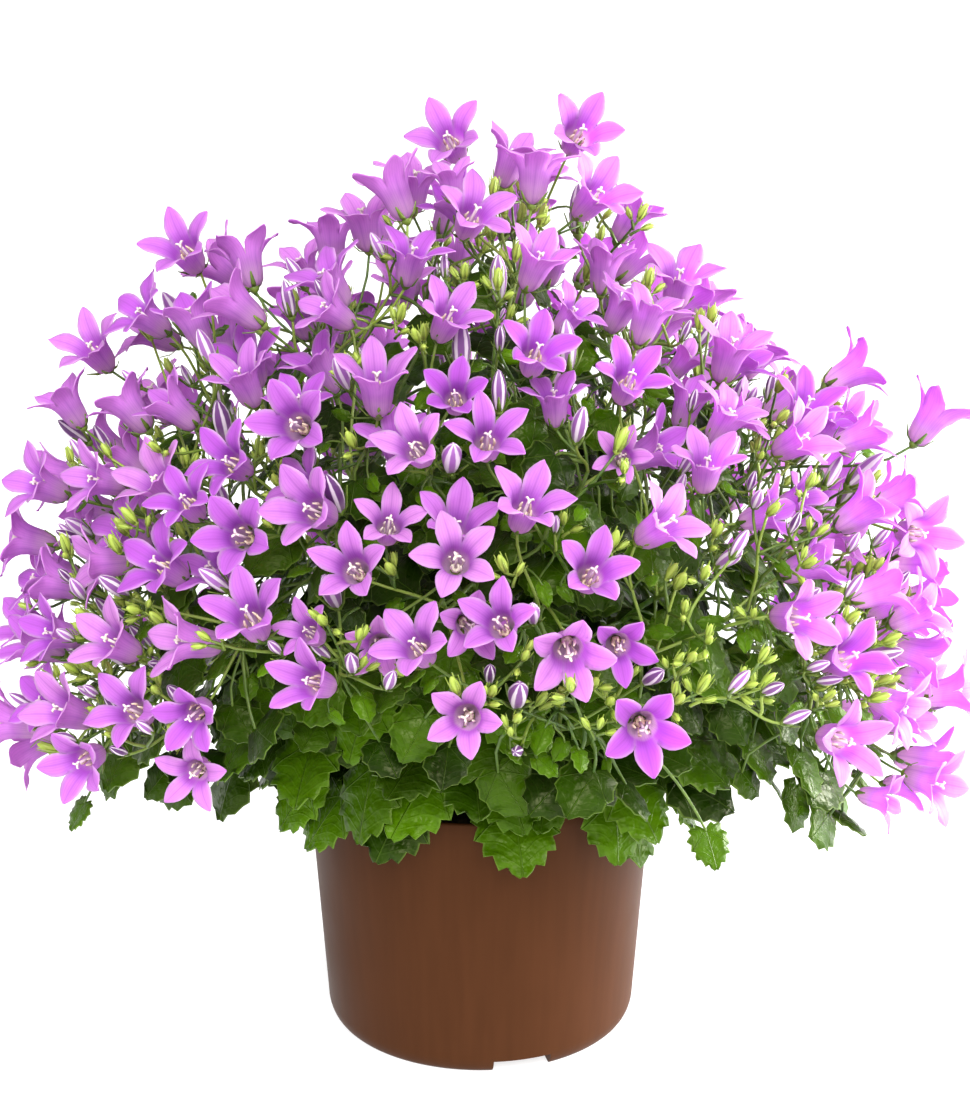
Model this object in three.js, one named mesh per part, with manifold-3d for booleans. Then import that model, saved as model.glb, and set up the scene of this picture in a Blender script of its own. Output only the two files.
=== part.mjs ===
// A potted dalmatian bellflower in full bloom.
// Millimetres, +Z up, front towards -Y. The origin is the middle of the pot's foot.

import * as THREE from 'three';
import { mergeVertices } from 'three/addons/utils/BufferGeometryUtils.js';
import Module from 'manifold-3d';

// Pot: a thin-walled round nursery pot of the 12 cm size
const POT_HEIGHT = 94.5;
const POT_RIM_RADIUS = 60;
const POT_FOOT_RADIUS = 53.4;
const POT_WALL = 1.6;
const POT_CORNER = 7;
const POT_CORNER_WIDTH = 3.85;
const POT_TAPER_INSIDE = 1.5;
const POT_SIDES = 36;
const FOOT_RING_WIDTH = 4;
const FOOT_RECESS = 5;
const NOTCH_COUNT = 3;
const NOTCH_WIDTH = 20;
const FIRST_NOTCH_TURN = -74.3;
const DRAIN_COUNT = 4;
const DRAIN_RADIUS = 4;
const DRAIN_CIRCLE = 26;

// Soil: the root ball, clear of the pot all round, with a hole for each stem
const CLEARANCE = 0.3;
const SOIL_EDGE_Z = 86;
const SOIL_RISE = 2.5;
const SOIL_SIDES = 28;
const HOLE_DEPTH = 7;

// Crown: where the open flowers stand, measured out from a centre just above the soil. It rises
// towards its top, is narrower front to back and leans a little to the front.
const LAYOUT_SEED = 15;
const CROWN_CENTRE = new THREE.Vector3(0, 0, 100);
const CROWN_REACH = 160;
const CROWN_RISE = 18;
const CROWN_NARROWING = 12;
const CROWN_LEAN = 3.5;
const CROWN_SWELLS = [
  { turn: 0, lift: 90, width: 22, swell: 27 },
  { turn: 0, lift: 80, width: 8, swell: 8 },
  { turn: 180, lift: 60, width: 10, swell: 20 },
  { turn: 180, lift: 73, width: 8, swell: -16 },
  { turn: 0, lift: 60, width: 10, swell: -14 },
  { turn: 0, lift: 38, width: 9, swell: 14 },
  { turn: 180, lift: 38, width: 9, swell: 14 },
];

// The flowers come down low at both sides, lowest at the right, and stay high over the pot's front
const LEFT_LIFT = -3;
const RIGHT_LIFT = -10;
const FRONT_LIFT = 21;
const BACK_LIFT = 3;

// Flowers that shape the outline seen from the front: where they stand, how far they stand out,
// and the turn and lift in which they face
const OUTLINE_FLOWERS = [
  { turn: 5, lift: 81, out: 4, faceTurn: -70, faceLift: 38 },
  { turn: 170, lift: 87, out: 4, faceTurn: -110, faceLift: 42 },
  { turn: -52, lift: 82, out: 2, faceTurn: 60, faceLift: 78 },
  { turn: -146, lift: 80, out: 4, faceTurn: 150, faceLift: 62 },
  { turn: -174, lift: 61, out: 3, faceTurn: -120, faceLift: 45 },
  { turn: -155, lift: 62, out: 1, faceTurn: 180, faceLift: 40 },
  { turn: 178, lift: 47, out: 8, faceTurn: -130, faceLift: 50 },
  { turn: -178, lift: 41, out: 5, faceTurn: 175, faceLift: 30 },
  { turn: -171, lift: 34, out: 3, faceTurn: -150, faceLift: 30 },
  { turn: -177, lift: 26, out: 3, faceTurn: -175, faceLift: 15 },
  { turn: -168, lift: 7, out: 2, faceTurn: 178, faceLift: 8 },
  { turn: 2, lift: 46, out: 5, faceTurn: 8, faceLift: 28 },
  { turn: -1, lift: 38, out: 7, faceTurn: 20, faceLift: 52 },
  { turn: -14, lift: 30, out: 2, faceTurn: -62, faceLift: 12 },
  { turn: -7, lift: 9, out: 3, faceTurn: -12, faceLift: 14 },
  { turn: -15, lift: 0, out: 0, faceTurn: -40, faceLift: -2 },
];

// Places where the crown shows more buds and leaves than open flowers
const BARE_PLACES = [
  { turn: -48, lift: 22, width: 20 },
  { turn: -72, lift: 50, width: 9 },
  { turn: 120, lift: 25, width: 16 },
];
const BARE_SHARE = 0.3;

// Stems and their sprays
const STEM_LATTICE = 66;
const STEM_LATTICE_TURN = 26;
const STEM_MARGIN = 9;
const ROOT_SPREAD = 45;
const HUB_SHARE = 0.58;
const BRANCH_DEPTH = 46;
const BRANCHES_PER_STEM = 3;
const BRANCH_SPREAD = 10;
const FORK_STEP = 7;
const SHOOTS_PER_BRANCH = 7;
const BRANCH_CHOICES = 4;
const BRANCH_REACH = 22;
const LEAST_LEAN = 10;
const MOST_LEAN = 72;
const LEAST_FORK_ANGLE = 80;
const MOST_NOD = 52;
const STEM_RADIUS = 1.15;
const BRANCH_RADIUS = 0.95;
const STALK_RADIUS = 0.8;
const FORK_RISE = 0.3;
const LEAST_STALK = 6;
const STALK_ROOM = 1.0;
const FORK_ROOM = 5;

// Open flowers, in an outer and an inner layer of the crown
const FLOWER_LATTICE = 430;
const FLOWER_TRIES = 14;
const FLOWER_LENGTH = 17;
const FLOWER_RADIUS = 13.2;
const NOTCH_RADIUS = 6.2;
const NOTCH_RISE = 11.4;
const TUBE_RADIUS = 4.2;
const TUBE_RISE = 3.2;
const THROAT_RISE = 5.5;
const LEAST_TIP = 4;
const TIP_RANGE = 26;
const OUTER_SIZE = 0.93;
const INNER_SIZE = 0.88;
const SIZE_RANGE = 0.16;
const OUTLINE_SIZE = 1.04;
const FACING_SHARE = 0.8;
const FACING_RISE = 4;
const INNER_DARTS = 1500;
const INNER_DEPTH = 26;
const INNER_FLOWERS = 96;

// Buds: grown striped ones, and young green ones
const BUD_DARTS = 1200;
const BUD_COUNT = 84;
const BUD_LENGTH = 15;
const YOUNG_SHARE = 0.35;
const YOUNG_SHARE_WHERE_BARE = 0.6;
const BUD_SHARE = 0.6;

// Leaves, in rows from the pot's rim up into the crown
const LEAF_ROWS = [
  { count: 18, radius: 69, sideways: 0, height: 92, tilt: 24, droop: 62, size: 23 },
  { count: 18, radius: 66, sideways: 22, height: 105, tilt: 40, droop: 40, size: 23 },
  { count: 18, radius: 78, sideways: 26, height: 118, tilt: 46, droop: 25, size: 22 },
  { count: 16, radius: 84, sideways: 14, height: 138, tilt: 48, droop: 15, size: 20 },
  { count: 16, radius: 80, sideways: 8, height: 160, tilt: 52, droop: 10, size: 19 },
  { count: 12, radius: 60, sideways: 4, height: 186, tilt: 60, droop: 10, size: 18 },
];
const LEAF_TRIES = 40;
const LEAF_HALF_THICKNESS = 0.7;
const LEAF_STALK_LIMIT = 52;
const LEAF_FORK_ROOM = 4;
const LEAF_BALL_RADIUS = 1.9;
const STEM_FORKS = [0.1, 0.24, 0.42, 0.66, 0.85];
const LEAVES_PER_FORK = 2;

// Spacing of the balls that stand for a stalk
const BALL_STEP = 2.2;

const GOLDEN_TURN = 180 * (3 - Math.sqrt(5));
const UP = new THREE.Vector3(0, 0, 1);

// Random draws from a seed, the same each time
function seededRandom(seed) {
  let state = seed;
  return () => {
    state = (state + 0x6d2b79f5) | 0;
    let mixed = Math.imul(state ^ (state >>> 15), 1 | state);
    mixed = (mixed + Math.imul(mixed ^ (mixed >>> 7), 61 | mixed)) ^ mixed;
    return ((mixed ^ (mixed >>> 14)) >>> 0) / 4294967296;
  };
}

function radians(degrees) {
  return (degrees * Math.PI) / 180;
}

function degrees(angle) {
  return (angle * 180) / Math.PI;
}

// The unit vector at a turn about Z from +X and a lift above the horizontal
function direction(turn, lift) {
  const flat = Math.cos(radians(lift));
  return new THREE.Vector3(
    flat * Math.cos(radians(turn)),
    flat * Math.sin(radians(turn)),
    Math.sin(radians(lift)),
  );
}

function along(start, unit, distance) {
  return start.clone().addScaledVector(unit, distance);
}

function turnOf(vector) {
  return degrees(Math.atan2(vector.y, vector.x));
}

function liftOf(vector) {
  return degrees(Math.asin(vector.z / vector.length()));
}

// How far from the crown's centre the mouths of the flowers stand in a direction
function crownReach(unit) {
  let reach = CROWN_REACH + CROWN_RISE * Math.max(unit.z, 0);
  reach -= CROWN_NARROWING * Math.abs(unit.y) + CROWN_LEAN * unit.y;
  for (const place of CROWN_SWELLS) {
    const away = degrees(unit.angleTo(direction(place.turn, place.lift))) / place.width;
    reach += place.swell * Math.exp(-away * away);
  }
  return reach;
}

// The lowest lift at which the crown still flowers, at a turn about Z
function lowestLift(unit) {
  const flat = Math.hypot(unit.x, unit.y) || 1;
  const frontness = Math.max(-unit.y / flat, 0);
  const backness = Math.max(unit.y / flat, 0);
  const sideLift = unit.x < 0 ? LEFT_LIFT : RIGHT_LIFT;
  return sideLift + (FRONT_LIFT - sideLift) * frontness ** 1.5 + (BACK_LIFT - sideLift) * backness;
}

function isBare(unit) {
  return BARE_PLACES.some(
    (place) => degrees(unit.angleTo(direction(place.turn, place.lift))) < place.width,
  );
}

// Directions spread evenly over the crown, from its top down
function latticeDirections(count, firstTurn, margin) {
  const units = [];
  for (let k = 0; k < count; k += 1) {
    const lift = degrees(Math.asin(1 - (2 * k + 1) / count));
    const unit = direction(firstTurn + k * GOLDEN_TURN, lift);
    if (lift > lowestLift(unit) + margin) {
      units.push(unit);
    }
  }
  return units;
}

// Two directions square to an axis, the first as near as can be to upward
function squareTo(axis) {
  const guide = Math.abs(axis.z) > 0.95 ? new THREE.Vector3(0, 1, 0) : UP;
  const first = guide.clone().addScaledVector(axis, -guide.dot(axis)).normalize();
  return [first, axis.clone().cross(first)];
}

// The axis tipped by an angle towards a spin about it
function tipped(axis, angle, spin) {
  const [first, second] = squareTo(axis);
  const aside = first.multiplyScalar(Math.cos(radians(spin))).addScaledVector(second, Math.sin(radians(spin)));
  return axis.clone().multiplyScalar(Math.cos(radians(angle))).addScaledVector(aside, Math.sin(radians(angle)));
}

// Balls that stand for what is already placed, so that nothing crosses it
class Clearance {
  constructor() {
    this.groups = [];
  }

  add(balls) {
    const middle = new THREE.Vector3();
    for (const ball of balls) {
      middle.add(ball.at);
    }
    middle.divideScalar(balls.length);
    const radius = Math.max(...balls.map((ball) => ball.at.distanceTo(middle) + ball.radius));
    this.groups.push({ balls, middle, radius });
  }

  isFree(balls) {
    return balls.every((ball) =>
      this.groups.every(
        (group) =>
          group.middle.distanceTo(ball.at) > group.radius + ball.radius ||
          group.balls.every((other) => other.at.distanceTo(ball.at) > other.radius + ball.radius),
      ),
    );
  }
}

// Balls along a straight stalk, from a little past its start
function stalkBalls(start, end, radius, skip = 0) {
  const length = start.distanceTo(end);
  const heading = end.clone().sub(start).divideScalar(length);
  const balls = [];
  for (let distance = skip; distance <= length; distance += BALL_STEP) {
    balls.push({ at: along(start, heading, distance), radius });
  }
  return balls;
}

// Balls over one lobe of an open flower: how far out, how far up and how large
const LOBE_BALLS = [
  [7, 10.8, 2.9],
  [10.2, 14.2, 2.4],
  [12.8, 16.4, 1.3],
];

// The five directions, square to a flower's axis, in which its lobes point
function lobeSides(flower) {
  const [first] = squareTo(flower.axis);
  return [0, 1, 2, 3, 4].map((lobe) =>
    first.clone().applyAxisAngle(flower.axis, radians(flower.spin + 72 * lobe)),
  );
}

// Balls over an open flower: its tube and its five lobes
function flowerBalls(flower) {
  const { at, axis, size } = flower;
  const balls = [
    { at: along(at, axis, 2.5 * size), radius: 3.2 * size },
    { at: along(at, axis, 7 * size), radius: 4.8 * size },
    { at: along(at, axis, 11.5 * size), radius: 6 * size },
  ];
  for (const aside of lobeSides(flower)) {
    for (const [out, rise, radius] of LOBE_BALLS) {
      balls.push({ at: along(along(at, axis, rise * size), aside, out * size), radius: radius * size });
    }
  }
  return balls;
}

function budBalls(bud) {
  const { at, axis, size } = bud;
  return [0.15, 0.4, 0.65, 0.9].map((share) => ({
    at: along(at, axis, size * share),
    radius: share < 0.8 ? 0.19 * size : 0.1 * size,
  }));
}

// Balls over a leaf's blade, closer together than they are wide
function leafBalls(leaf) {
  const { at, heading, normal, size } = leaf;
  const across = heading.clone().cross(normal);
  const balls = [];
  for (const [y, halfWidth] of [[-0.06, 0.36], [0.12, 0.5], [0.3, 0.44], [0.48, 0.42], [0.66, 0.22], [0.86, 0.06]]) {
    const steps = Math.max(1, Math.round((2 * halfWidth * size) / 4.4));
    for (let k = 0; k <= steps; k += 1) {
      const x = halfWidth * ((2 * k) / steps - 1) * 0.92;
      balls.push({ at: along(along(at, heading, y * size), across, x * size), radius: LEAF_BALL_RADIUS });
    }
  }
  return balls;
}

function soilHeight(radius) {
  return SOIL_EDGE_Z + SOIL_RISE * (1 - (radius / POT_RIM_RADIUS) ** 2);
}

function potRadius(z) {
  return POT_FOOT_RADIUS + ((POT_RIM_RADIUS - POT_FOOT_RADIUS) * z) / POT_HEIGHT;
}

// Whether a ball stays out of the pot's wall and the soil
function isClearOfPot(ball) {
  const flat = Math.hypot(ball.at.x, ball.at.y);
  if (ball.at.z > POT_HEIGHT + ball.radius + 0.4) {
    return true;
  }
  const outside = flat > potRadius(ball.at.z) + ball.radius + 0.4;
  const inside = flat < potRadius(ball.at.z) - POT_WALL - ball.radius - 0.4;
  return outside || (inside && ball.at.z > soilHeight(flat) + ball.radius + 0.2);
}

// One leafy stem: a root in the soil, an arching path and a hub where its spray begins
function makeStem(unit) {
  const turn = turnOf(unit);
  const lift = liftOf(unit);
  const rootRadius = ROOT_SPREAD * Math.cos(radians(Math.max(lift, 0)));
  const flat = direction(turn, 0);
  const soilTop = soilHeight(rootRadius);
  const root = along(flat.clone().multiplyScalar(rootRadius), UP, soilTop - HOLE_DEPTH);
  const collar = along(root, UP, HOLE_DEPTH + 3);
  const hub = along(CROWN_CENTRE, unit, crownReach(unit) * HUB_SHARE);
  const bend = flat.clone().multiplyScalar(rootRadius * 1.12);
  bend.z = collar.z + 0.55 * (hub.z - collar.z) + 9;
  const curve = new THREE.QuadraticBezierCurve3(collar, bend, hub);
  const forks = STEM_FORKS.map((share) => ({
    at: curve.getPoint(share),
    heading: curve.getTangent(share),
    leaves: [],
  }));
  return { unit, root, collar, hub, forks, branches: [] };
}

// The branches of a stem's spray, each with room for forks further out
function makeBranches(stem, spin) {
  for (let k = 0; k < BRANCHES_PER_STEM; k += 1) {
    const unit = tipped(stem.unit, BRANCH_SPREAD, spin + (360 * k) / BRANCHES_PER_STEM);
    const at = along(CROWN_CENTRE, unit, crownReach(unit) - BRANCH_DEPTH);
    stem.branches.push({ unit, at, shoots: [] });
  }
}

// Each fork of a branch carries two shoots and the next fork, and the last one three
function forkOfShoot(branch, index) {
  const step = Math.min(Math.floor(index / 2), Math.floor((SHOOTS_PER_BRANCH - 1) / 2) - 1);
  return along(branch.at, branch.unit, step * FORK_STEP);
}

// The branches with room for one more shoot that lie nearest to a direction
function nearestBranches(branches, unit) {
  return branches
    .filter((branch) => branch.shoots.length < SHOOTS_PER_BRANCH && degrees(branch.unit.angleTo(unit)) < BRANCH_REACH)
    .sort((one, other) => one.unit.angleTo(unit) - other.unit.angleTo(unit))
    .slice(0, BRANCH_CHOICES);
}

// Whether a shoot leaves its fork well to one side, and away from the shoots already there
function leavesForkCleanly(branch, fork, heading) {
  const lean = degrees(heading.angleTo(branch.unit));
  if (lean < LEAST_LEAN || lean > MOST_LEAN) {
    return false;
  }
  const aside = heading.clone().projectOnPlane(branch.unit);
  return branch.shoots.every((other, index) => {
    if (forkOfShoot(branch, index).distanceTo(fork) > 0.1) {
      return true;
    }
    const otherAside = other.at.clone().sub(fork).projectOnPlane(branch.unit);
    return degrees(aside.angleTo(otherAside)) > LEAST_FORK_ANGLE;
  });
}

// Tries a flower or bud on the branches nearest to it, and keeps it if it crosses nothing
function tryShoot(clearance, branches, unit, shoot, balls) {
  if (!balls.every(isClearOfPot) || !clearance.isFree(balls)) {
    return false;
  }
  for (const branch of nearestBranches(branches, unit)) {
    const fork = forkOfShoot(branch, branch.shoots.length);
    const heading = shoot.at.clone().sub(fork);
    const stalk = stalkBalls(fork, shoot.at, STALK_ROOM, FORK_ROOM);
    const isStraight = heading.length() > LEAST_STALK && degrees(heading.angleTo(shoot.axis)) < MOST_NOD;
    if (isStraight && leavesForkCleanly(branch, fork, heading) && clearance.isFree(stalk)) {
      clearance.add([...balls, ...stalk]);
      branch.shoots.push(shoot);
      return true;
    }
  }
  return false;
}

function makeFlower(unit, depth, axis, size, spin, isOuter) {
  const mouth = along(CROWN_CENTRE, unit, crownReach(unit) - depth);
  const at = along(mouth, axis, -FLOWER_LENGTH * size * 0.8);
  return { kind: 'flower', at, axis, size, spin, isOuter };
}

// A flower that faces outward, a little below the way up of the crown there, tipped at random
function makeRandomFlower(random, unit, depth, isOuter) {
  const facing = direction(turnOf(unit), liftOf(unit) * FACING_SHARE + FACING_RISE);
  const axis = tipped(facing, LEAST_TIP + TIP_RANGE * random(), 360 * random());
  const size = (isOuter ? OUTER_SIZE : INNER_SIZE) + SIZE_RANGE * random();
  return makeFlower(unit, depth, axis, size, 72 * random(), isOuter);
}

function jittered(random, unit, spread) {
  return tipped(unit, spread * random(), 360 * random());
}

function placeOutlineFlowers(clearance, branches) {
  for (const place of OUTLINE_FLOWERS) {
    const unit = direction(place.turn, place.lift);
    const axis = direction(place.faceTurn, place.faceLift);
    const flower = makeFlower(unit, -place.out, axis, OUTLINE_SIZE, 36, true);
    tryShoot(clearance, branches, unit, flower, flowerBalls(flower));
  }
}

// The outer layer follows an even lattice
function placeOuterFlowers(clearance, branches, random) {
  for (const site of latticeDirections(FLOWER_LATTICE, 0, 0)) {
    const left = isBare(site) && random() > BARE_SHARE;
    for (let k = 0; k < FLOWER_TRIES && !left; k += 1) {
      const unit = jittered(random, site, 2 + 0.3 * k);
      const flower = makeRandomFlower(random, unit, 6 * random() + 0.5 * k, true);
      if (tryShoot(clearance, branches, unit, flower, flowerBalls(flower))) {
        break;
      }
    }
  }
}

function dartDirection(random, margin) {
  for (;;) {
    const lift = degrees(Math.asin(2 * random() - 1));
    const unit = direction(360 * random(), lift);
    if (lift > lowestLift(unit) + margin) {
      return unit;
    }
  }
}

// The inner layer fills in between the stalks of the outer one
function placeInnerFlowers(clearance, branches, random) {
  let placed = 0;
  for (let k = 0; k < INNER_DARTS && placed < INNER_FLOWERS; k += 1) {
    const unit = dartDirection(random, 2);
    const depth = INNER_DEPTH * (0.45 + 0.65 * random());
    const flower = makeRandomFlower(random, unit, depth, false);
    const isWanted = !isBare(unit) || random() < BARE_SHARE;
    if (isWanted && tryShoot(clearance, branches, unit, flower, flowerBalls(flower))) {
      placed += 1;
    }
  }
}

function placeBuds(clearance, branches, random) {
  let placed = 0;
  for (let k = 0; k < BUD_DARTS && placed < BUD_COUNT; k += 1) {
    const unit = dartDirection(random, -2);
    const outward = direction(turnOf(unit), liftOf(unit));
    const axis = tipped(outward.addScaledVector(UP, 0.35).normalize(), 25 * random(), 360 * random());
    const isYoung = random() < (isBare(unit) ? YOUNG_SHARE_WHERE_BARE : YOUNG_SHARE);
    const size = BUD_LENGTH * (isYoung ? 0.55 + 0.2 * random() : 0.85 + 0.3 * random());
    const tip = along(CROWN_CENTRE, unit, crownReach(unit) - 18 * random() + 2);
    const at = along(tip, axis, -size);
    const bud = { kind: 'bud', at, axis, size, isYoung };
    const isWanted = isBare(unit) || random() < BUD_SHARE;
    if (isWanted && tryShoot(clearance, branches, unit, bud, budBalls(bud))) {
      placed += 1;
    }
  }
}

// The free fork with the shortest stalk to a leaf that meets stem, blade and other stalk cleanly
function nearestFork(stems, leaf) {
  let best = null;
  let bestLength = LEAF_STALK_LIMIT;
  for (const stem of stems) {
    for (const fork of stem.forks) {
      const heading = leaf.at.clone().sub(fork.at);
      const length = heading.length();
      const isClean =
        degrees(heading.angleTo(fork.heading)) < 84 &&
        degrees(heading.angleTo(fork.heading)) > 14 &&
        degrees(heading.angleTo(leaf.heading)) < 66 &&
        fork.leaves.every((other) => degrees(heading.angleTo(other.at.clone().sub(fork.at))) > 45);
      if (isClean && fork.leaves.length < LEAVES_PER_FORK && length > 8 && length < bestLength) {
        best = fork;
        bestLength = length;
      }
    }
  }
  return best;
}

function placeLeaves(clearance, stems, random) {
  for (const row of LEAF_ROWS) {
    for (let k = 0; k < row.count; k += 1) {
      for (let tries = 0; tries < LEAF_TRIES; tries += 1) {
        const turn = (360 * (k + 0.5 + (random() - 0.5) * (1 + tries / 20))) / row.count;
        const size = row.size * (0.85 + 0.3 * random());
        const radius = row.radius + row.sideways * Math.cos(radians(turn)) ** 2;
        const middle = direction(turn, 0).multiplyScalar(radius + 12 * (random() - 0.5) + tries * 0.3);
        middle.z = row.height + 10 * (random() - 0.5);
        const normal = tipped(direction(turn, row.tilt), 22 * random(), 360 * random());
        const falling = direction(turn + 70 * (random() - 0.5), -row.droop);
        const heading = falling.addScaledVector(normal, -falling.dot(normal)).normalize();
        const at = along(middle, heading, -0.42 * size);
        const leaf = { kind: 'leaf', at, heading, normal, size };
        const fork = nearestFork(stems, leaf);
        if (!fork) {
          continue;
        }
        const stalk = stalkBalls(fork.at, at, STALK_ROOM, LEAF_FORK_ROOM);
        const balls = [...leafBalls(leaf), ...stalk];
        if (balls.every(isClearOfPot) && clearance.isFree(balls)) {
          clearance.add(balls);
          fork.leaves.push(leaf);
          break;
        }
      }
    }
  }
}

// The whole plant, laid out before any of it is given a surface
function layOutPlant() {
  const random = seededRandom(LAYOUT_SEED);
  const stems = latticeDirections(STEM_LATTICE, STEM_LATTICE_TURN, STEM_MARGIN).map(makeStem);
  const clearance = new Clearance();
  for (const stem of stems) {
    makeBranches(stem, 120 * random());
    const path = [stem.collar, ...stem.forks.map((fork) => fork.at), stem.hub];
    for (let k = 1; k < path.length; k += 1) {
      clearance.add(stalkBalls(path[k - 1], path[k], 1.3));
    }
    for (const branch of stem.branches) {
      clearance.add(stalkBalls(stem.hub, branch.at, 1.1));
      clearance.add(stalkBalls(branch.at, along(branch.at, branch.unit, 2 * FORK_STEP), 1.1));
    }
  }
  const branches = stems.flatMap((stem) => stem.branches);
  placeOutlineFlowers(clearance, branches);
  placeOuterFlowers(clearance, branches, random);
  placeInnerFlowers(clearance, branches, random);
  placeBuds(clearance, branches, random);
  placeLeaves(clearance, stems, random);
  return stems;
}

// A closed surface that is grown from ring to ring, so that nothing in it has to be fused
class Body {
  constructor() {
    this.points = [];
    this.faces = [];
  }

  addPoint(point) {
    this.points.push(point);
    return this.points.length - 1;
  }

  middle(ids) {
    const sum = new THREE.Vector3();
    for (const id of ids) {
      sum.add(this.points[id]);
    }
    return sum.divideScalar(ids.length);
  }

  // A ring of points round an axis, each with its own radius and its own rise along the axis
  addRing(centre, axis, side, radii, rises) {
    const over = axis.clone().cross(side);
    return radii.map((radius, k) => {
      const angle = (2 * Math.PI * k) / radii.length;
      const point = along(centre, axis, rises[k]);
      point.addScaledVector(side, radius * Math.cos(angle)).addScaledVector(over, radius * Math.sin(angle));
      return this.addPoint(point);
    });
  }

  // The side of a new three-point ring that twists least against the ring before it
  matchingSide(ids, axis) {
    const middle = this.middle(ids);
    const side = new THREE.Vector3();
    ids.forEach((id, k) => {
      const offset = this.points[id].clone().sub(middle);
      offset.addScaledVector(axis, -offset.dot(axis));
      side.add(offset.applyAxisAngle(axis, (-2 * Math.PI * k) / 3));
    });
    return side.normalize();
  }

  // Triangles between two rings that start at the same turn
  join(lower, upper) {
    let i = 0;
    let j = 0;
    while (i < lower.length || j < upper.length) {
      const low = lower[i % lower.length];
      const high = upper[j % upper.length];
      if (j === upper.length || (i < lower.length && (i + 0.5) / lower.length <= (j + 0.5) / upper.length)) {
        i += 1;
        this.faces.push([low, lower[i % lower.length], high]);
      } else {
        j += 1;
        this.faces.push([low, upper[j % upper.length], high]);
      }
    }
  }

  // Triangles between two three-point rings, each side split so that it bulges outward
  joinTube(lower, upper) {
    for (let k = 0; k < 3; k += 1) {
      const next = (k + 1) % 3;
      const [low, lowNext, high, highNext] = [lower[k], lower[next], upper[k], upper[next]];
      const origin = this.points[low];
      const outward = this.points[lowNext].clone().sub(origin).cross(this.points[high].clone().sub(origin));
      if (outward.dot(this.points[highNext].clone().sub(origin)) <= 0) {
        this.faces.push([low, lowNext, high], [lowNext, highNext, high]);
      } else {
        this.faces.push([low, lowNext, highNext], [low, highNext, high]);
      }
    }
  }

  // Triangles from a ring up to one point
  joinToPoint(ring, id) {
    ring.forEach((corner, k) => this.faces.push([corner, ring[(k + 1) % ring.length], id]));
  }

  geometry() {
    const geometry = new THREE.BufferGeometry();
    const positions = this.points.flatMap((point) => point.toArray());
    geometry.setAttribute('position', new THREE.Float32BufferAttribute(positions, 3));
    geometry.setIndex(this.faces.flat());
    geometry.computeVertexNormals();
    return geometry;
  }
}

// An open flower: a narrow foot, a bell tube and five pointed lobes round a deep throat
function growFlower(body, foot, flower) {
  const { at, axis, size, isOuter } = flower;
  const side = body.points[foot[0]].clone().sub(at).normalize();
  let base = foot;
  if (isOuter) {
    const rises = new Array(5).fill(TUBE_RISE * size);
    const tube = body.addRing(at, axis, side, new Array(5).fill(TUBE_RADIUS * size), rises);
    body.join(base, tube);
    base = tube;
  }
  const radii = [];
  const rises = [];
  for (let lobe = 0; lobe < 5; lobe += 1) {
    radii.push(FLOWER_RADIUS * size, NOTCH_RADIUS * size);
    rises.push(FLOWER_LENGTH * size, NOTCH_RISE * size);
  }
  const edge = body.addRing(at, axis, side, radii, rises);
  body.join(base, edge);
  body.joinToPoint(edge, body.addPoint(along(at, axis, THROAT_RISE * size)));
}

// A bud: a spindle, widest below its middle
function growBud(body, foot, bud) {
  const { at, axis, size, isYoung } = bud;
  const side = body.matchingSide(foot, axis);
  const corners = isYoung ? 3 : 5;
  const widest = isYoung ? 0.22 : 0.17;
  const rises = new Array(corners).fill(0.42 * size);
  const belly = body.addRing(at, axis, side, new Array(corners).fill(widest * size), rises);
  body.join(foot, belly);
  body.joinToPoint(belly, body.addPoint(along(at, axis, size)));
}

// Right half of a leaf's edge, across and along, in shares of its length: coarse teeth and notches
const LEAF_EDGE = [
  [0.34, -0.16],
  [0.4, 0.04],
  [0.57, 0.17],
  [0.44, 0.3],
  [0.49, 0.5],
  [0.31, 0.58],
];

// A leaf: a three-point stalk end in the notch of a heart-shaped blade with pointed teeth
function growLeaf(body, start, leaf) {
  const { at, heading, normal, size } = leaf;
  const across = heading.clone().cross(normal);
  const place = (x, y, z) => {
    const point = along(at, across, x * size).addScaledVector(heading, y * size);
    return body.addPoint(point.addScaledVector(normal, z));
  };
  const cup = (x, y) => -0.32 * size * (x * x + 0.35 * (y - 0.35) ** 2);
  const right = place(STALK_RADIUS / size, 0, 0);
  const left = place(-STALK_RADIUS / size, 0, 0);
  const under = place(0, -0.02, -1.5);
  const edge = [right];
  for (const [x, y] of LEAF_EDGE) {
    edge.push(place(x, y, cup(x, y)));
  }
  edge.push(place(0, 1, cup(0, 1)));
  for (const [x, y] of [...LEAF_EDGE].reverse()) {
    edge.push(place(-x, y, cup(x, y)));
  }
  edge.push(left);
  const top = place(0, 0.33, LEAF_HALF_THICKNESS);
  const bottom = place(0, 0.33, -LEAF_HALF_THICKNESS);
  body.joinToPoint(edge, top);
  body.faces.push([right, under, bottom], [under, left, bottom]);
  for (let k = 0; k + 1 < edge.length; k += 1) {
    body.faces.push([edge[k + 1], edge[k], bottom]);
  }
  body.joinTube(start, nearestStart(body, start, [right, under, left]));
}

// The same ring, begun at the point that lies nearest in turn to the start of another
function nearestStart(body, lower, upper) {
  let best = upper;
  let bestLength = Infinity;
  for (let shift = 0; shift < 3; shift += 1) {
    const turned = upper.map((_, k) => upper[(k + shift) % 3]);
    const length = turned.reduce(
      (sum, id, k) => sum + body.points[id].distanceTo(body.points[lower[k]]) ** 2,
      0,
    );
    if (length < bestLength) {
      best = turned;
      bestLength = length;
    }
  }
  return best;
}

function orders(count, taken = []) {
  if (taken.length === count) {
    return [taken];
  }
  return [0, 1, 2].filter((face) => !taken.includes(face)).flatMap((face) => orders(count, [...taken, face]));
}

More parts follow.
